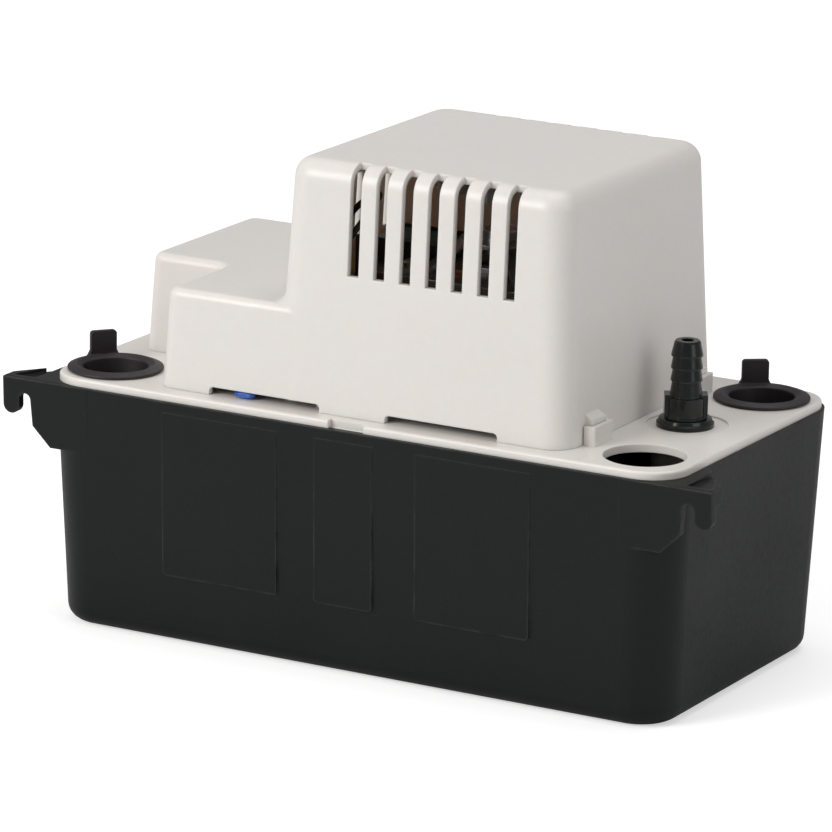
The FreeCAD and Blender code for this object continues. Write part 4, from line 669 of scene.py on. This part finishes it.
@dataclass
class InletPlugs(SubAssembly):
    """Both rubber plugs, each of which lifts out by itself."""

    title: str = "inlet plugs"

    def build(self) -> None:
        """Dress the plugs."""
        self.dress(["inlet_plug_front", "inlet_plug_back"], RUBBER)


@dataclass
class Discharge(SubAssembly):
    """The barbed fitting, its check valve and the pipe up to it."""

    title: str = "discharge"

    def build(self) -> None:
        """Dress the fitting, seal, valve and pipe."""
        self.dress(["discharge_fitting"], FITTING)
        self.dress(["fitting_seal_ring"], SEAL)
        self.dress(["valve_seat", "valve_poppet"], VALVE)
        self.dress(["discharge_pipe"], PUMP)


@dataclass
class PumpEnd(SubAssembly):
    """The column, casing and impeller that hang in the tank."""

    title: str = "pump end"

    def build(self) -> None:
        """Dress the pump end."""
        self.dress(["shaft_column", "pump_casing", "casing_plate", "impeller"], PUMP)
        self.dress(["casing_screws", "motor_shaft"], STEEL)
        self.dress(["water_slinger"], SEAL)


@dataclass
class Motor(SubAssembly):
    """The shaded pole motor with its fan, brackets and taped coil."""

    title: str = "motor"
    tape_thickness: float = 0.3 * MM
    tape_overlap: float = 0.22
    wire_pitch: float = 1.7 * MM
    wire_swell: float = 0.16 * MM
    rim_round: float = 1.6 * MM
    corner: float = 6.0 * MM
    build_up: float = 4.6 * MM
    around: int = 144
    across: int = 54

    def build(self) -> None:
        """Dress the motor and put the taped coil round its bobbin."""
        self.dress(["stator_laminations", "rotor_core"], IRON)
        self.dress(["rotor_end_rings"], ALUMINIUM)
        self.dress(["shading_rings"], COPPER)
        self.dress(["lower_bearing", "upper_bearing"], BRONZE)
        self.dress(["lower_motor_bracket", "upper_motor_bracket", "motor_bolts"], STEEL)
        self.dress(["coil_bobbin"], BOBBIN)
        self.dress(["cooling_fan"], FAN)
        self.dress(["coil_winding"], TAPE)
        coil = self.piece("taped_coil", self.coil_mesh(), TAPE, "coil_tape")
        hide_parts("coil_winding")

    def coil_mesh(self) -> bpy.types.Mesh:
        """Wind the coil: a band whose outside shows the wires through its tape and the tape's loose end.

        Returns:
            The closed mesh of the coil.
        """
        low, high = node_box("coil_winding")
        middle = (low + high) / 2
        half = (high - low) / 2
        rings = []
        for i in range(self.around):
            share = i / self.around
            outer, out = rounded_outline(half.x, half.z, self.corner, share)
            inner, _ = rounded_outline(half.x - self.build_up, half.z - self.build_up,
                                       self.corner - self.build_up, share)
            bare = 0.0 if share < self.tape_overlap else self.tape_thickness
            ring = []
            for j in range(self.across + 1):
                y = (2 * j / self.across - 1) * half.y
                beyond = max(0.0, abs(y) - half.y + self.rim_round) / self.rim_round
                rounding = self.rim_round * (1 - math.sqrt(max(0.0, 1 - beyond ** 2)))
                furrow = self.wire_swell * (1 - abs(math.sin(math.pi * y / self.wire_pitch)))
                point = outer - out * (bare + rounding + furrow)
                ring.append((middle.x + point.x, middle.y + y, middle.z + point.y))
            ring += [(middle.x + inner.x, middle.y + side * half.y, middle.z + inner.y) for side in (1, -1)]
            rings.append(ring)
        return skin_mesh("taped_coil", rings, looped=True)


@dataclass
class FloatSwitches(SubAssembly):
    """The float with its arm, and both snap switches with their levers."""

    title: str = "float and switches"

    def build(self) -> None:
        """Dress the float and the switches."""
        self.dress(["float"], FLOAT)
        self.dress(["float_arm"], ARM)
        self.dress(["pump_switch", "safety_switch"], SWITCH)
        self.dress(["switch_terminals"], BRASS)
        self.dress(["float_pivot_pin", "pump_switch_lever", "safety_switch_lever", "switch_bracket",
                    "switch_screws"], STEEL)


@dataclass
class Leads(SubAssembly):
    """The motor's two leads and the crimped cap on one of them."""

    title: str = "leads"
    cap_reach: float = 3.6 * MM
    crimp_half_width: float = 4.3 * MM
    crimp_half_height: float = 1.2 * MM
    crimp_share: float = 0.45
    tip_share: float = 0.06
    tip_least: float = 0.6
    mouth_flare: float = 0.3 * MM
    mouth_share: float = 0.1
    lid_gap: float = 0.15 * MM
    around: int = 40
    along: int = 22

    def build(self) -> None:
        """Dress the leads and the cap."""
        self.dress(["motor_leads"], LEAD)
        self.dress(["crimp_connector"], CONNECTOR)
        cap = self.piece("crimped_cap", self.cap_mesh(), CONNECTOR, "connector_plastic")
        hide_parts("crimp_connector")

    def cap_mesh(self) -> bpy.types.Mesh:
        """Form the cap: round at its mouth, pressed flat towards the tip that lies in the low notch.

        Returns:
            The closed mesh of the cap.
        """
        low, high = node_box("crimp_connector")
        radius = (high.x - low.x) / 2 - self.mouth_flare
        middle_x = (low.x + high.x) / 2
        start = low.y - self.cap_reach
        rings = []
        for i in range(self.along + 1):
            share = i / self.along
            press = min(1.0, share / self.crimp_share)
            press = press * press * (3 - 2 * press)
            tip = math.sqrt(min(1.0, share / self.tip_share)) * (1 - self.tip_least) + self.tip_least
            flare = self.mouth_flare * max(0.0, share - (1 - self.mouth_share)) / self.mouth_share
            half_x = ((1 - press) * self.crimp_half_width + press * radius + flare) * tip
            half_z = ((1 - press) * self.crimp_half_height + press * radius + flare) * tip
            centre_z = (low.z + self.lid_gap + (1 - press) * self.crimp_half_height
                        + press * (radius + self.mouth_flare))
            ring = []
            for j in range(self.around):
                turn = 2 * math.pi * j / self.around
                ring.append((middle_x + half_x * math.cos(turn), start + share * (high.y - start),
                             centre_z + half_z * math.sin(turn)))
            rings.append(ring)
        return skin_mesh("crimped_cap", rings, looped=False)


@dataclass
class Lamp:
    """One soft area lamp aimed at the pump."""

    name: str
    place: Point
    size: float
    power: float
    tint: Colour = WHITE

    def build(self, aim: Vector) -> None:
        """Add the lamp.

        Args:
            aim: The point that it faces.
        """
        light = bpy.data.lights.new(self.name, "AREA")
        light.shape = "DISK"
        light.size = self.size
        light.energy = self.power
        light.color = self.tint
        made = bpy.data.objects.new(self.name, light)
        made.location = self.place
        made.rotation_euler = (Vector(self.place) - aim).to_track_quat("Z", "Y").to_euler()
        bpy.context.scene.collection.objects.link(made)
        LOG.info("lamp %s", self.name)


@dataclass
class Studio:
    """A white floor and surround, and soft lamps at a plain level."""

    floor_half: float = 4.0
    floor_drop: float = 0.00005
    floor_colour: Colour = (0.8, 0.8, 0.8)
    floor_lift: float = 0.5
    ambient: float = 0.34
    aim: Point = (0.0, 0.0, 0.08)
    lamps: Tuple[Lamp, ...] = (
        Lamp("key", place=(-1.25, -2.1, 1.35), size=1.5, power=44.5, tint=(1.0, 0.99, 0.98)),
        Lamp("top", place=(0.1, 0.35, 2.0), size=1.6, power=13.0),
        Lamp("side", place=(2.2, -0.5, 0.9), size=1.4, power=8.0, tint=(0.99, 0.995, 1.0)),
    )

    def seen(self, wires: Wiring) -> bpy.types.NodeSocket:
        """Tell camera rays from the ones that light the pump.

        Args:
            wires: The tree that needs the test.

        Returns:
            1 where the camera looks at the surround, otherwise 0.
        """
        return wires.add("LightPath").outputs["Is Camera Ray"]

    def build_world(self) -> None:
        """Light the pump evenly from all round, before a white surround."""
        world = bpy.data.worlds.new("studio")
        world.use_nodes = True
        bpy.context.scene.world = world
        wires = Wiring(world.node_tree)
        strength = wires.span(self.seen(wires), 0.0, 1.0, self.ambient, 1.0)
        light = wires.add("Background", {"Color": WHITE, "Strength": strength})
        end = wires.add("OutputWorld")
        wires.put(end.inputs["Surface"], light.outputs[0])

    def build_floor(self) -> None:
        """Lay the floor: pale, lifted to white where the camera sees it, with the pump's shadow on it."""
        half = self.floor_half
        mesh = bpy.data.meshes.new("studio_floor")
        corners = [(-half, -half), (half, -half), (half, half), (-half, half)]
        mesh.from_pydata([(x, y, -self.floor_drop) for x, y in corners], [], [(0, 1, 2, 3)])
        floor = bpy.data.objects.new("studio_floor", mesh)
        bpy.context.scene.collection.objects.link(floor)
        paint = bpy.data.materials.new("studio_floor")
        paint.use_nodes = True
        wires = Wiring(paint.node_tree)
        matte = wires.add("BsdfDiffuse", {"Color": self.floor_colour})
        lift = wires.math("MULTIPLY", self.seen(wires), self.floor_lift)
        glow = wires.add("Emission", {"Color": WHITE, "Strength": lift})
        both = wires.add("AddShader", {0: matte.outputs[0], 1: glow.outputs[0]})
        end = wires.add("OutputMaterial")
        wires.put(end.inputs["Surface"], both.outputs[0])
        mesh.materials.append(paint)

    def build(self) -> None:
        """Build the surround, floor and lamps."""
        self.build_world()
        self.build_floor()
        for lamp in self.lamps:
            lamp.build(Vector(self.aim))


@dataclass
class Viewpoint:
    """The camera, fitted to the corners of the tank, lid and cover in the picture."""

    azimuth: float = math.radians(29.07)
    elevation: float = math.radians(15.01)
    roll: float = math.radians(1.12)
    distance: float = 2090.8 * MM
    sideways: float = -7.885 * MM
    height: float = 78.92 * MM
    frame_pixels: float = 832.0
    focal_pixels: float = 5956.9
    sensor: float = 36.0
    far_limit: float = 50.0

    def build(self) -> None:
        """Add the camera and make it the scene's own."""
        right = Vector((math.cos(self.azimuth), math.sin(self.azimuth), 0.0))
        back = Vector((math.sin(self.azimuth) * math.cos(self.elevation),
                       -math.cos(self.azimuth) * math.cos(self.elevation), math.sin(self.elevation)))
        up = back.cross(right)
        target = right * self.sideways + Vector((0.0, 0.0, self.height))
        lens = bpy.data.cameras.new("camera")
        lens.sensor_width = self.sensor
        lens.lens = self.sensor * self.focal_pixels / self.frame_pixels
        lens.clip_end = self.far_limit
        made = bpy.data.objects.new("camera", lens)
        rolled_right = right * math.cos(self.roll) + up * math.sin(self.roll)
        rolled_up = up * math.cos(self.roll) - right * math.sin(self.roll)
        turn = Matrix((rolled_right, rolled_up, back)).transposed()
        made.matrix_world = Matrix.Translation(target + back * self.distance) @ turn.to_4x4()
        bpy.context.scene.collection.objects.link(made)
        bpy.context.scene.camera = made
        LOG.info("camera at %s", tuple(round(value, 3) for value in made.location))


def main() -> None:
    """Build the pump's finishes and fine pieces, then the studio and the camera."""
    logging.basicConfig(level=logging.INFO, format="%(name)s: %(message)s")
    parts: List[SubAssembly] = [
        Reservoir(), Lid(), Cover(), InletPlugs(), Discharge(), PumpEnd(), Motor(), FloatSwitches(), Leads(),
    ]
    for part in parts:
        part.build()
    Studio().build()
    Viewpoint().build()
    bpy.context.scene.view_settings.view_transform = "Standard"


if __name__ == "__main__":
    main()
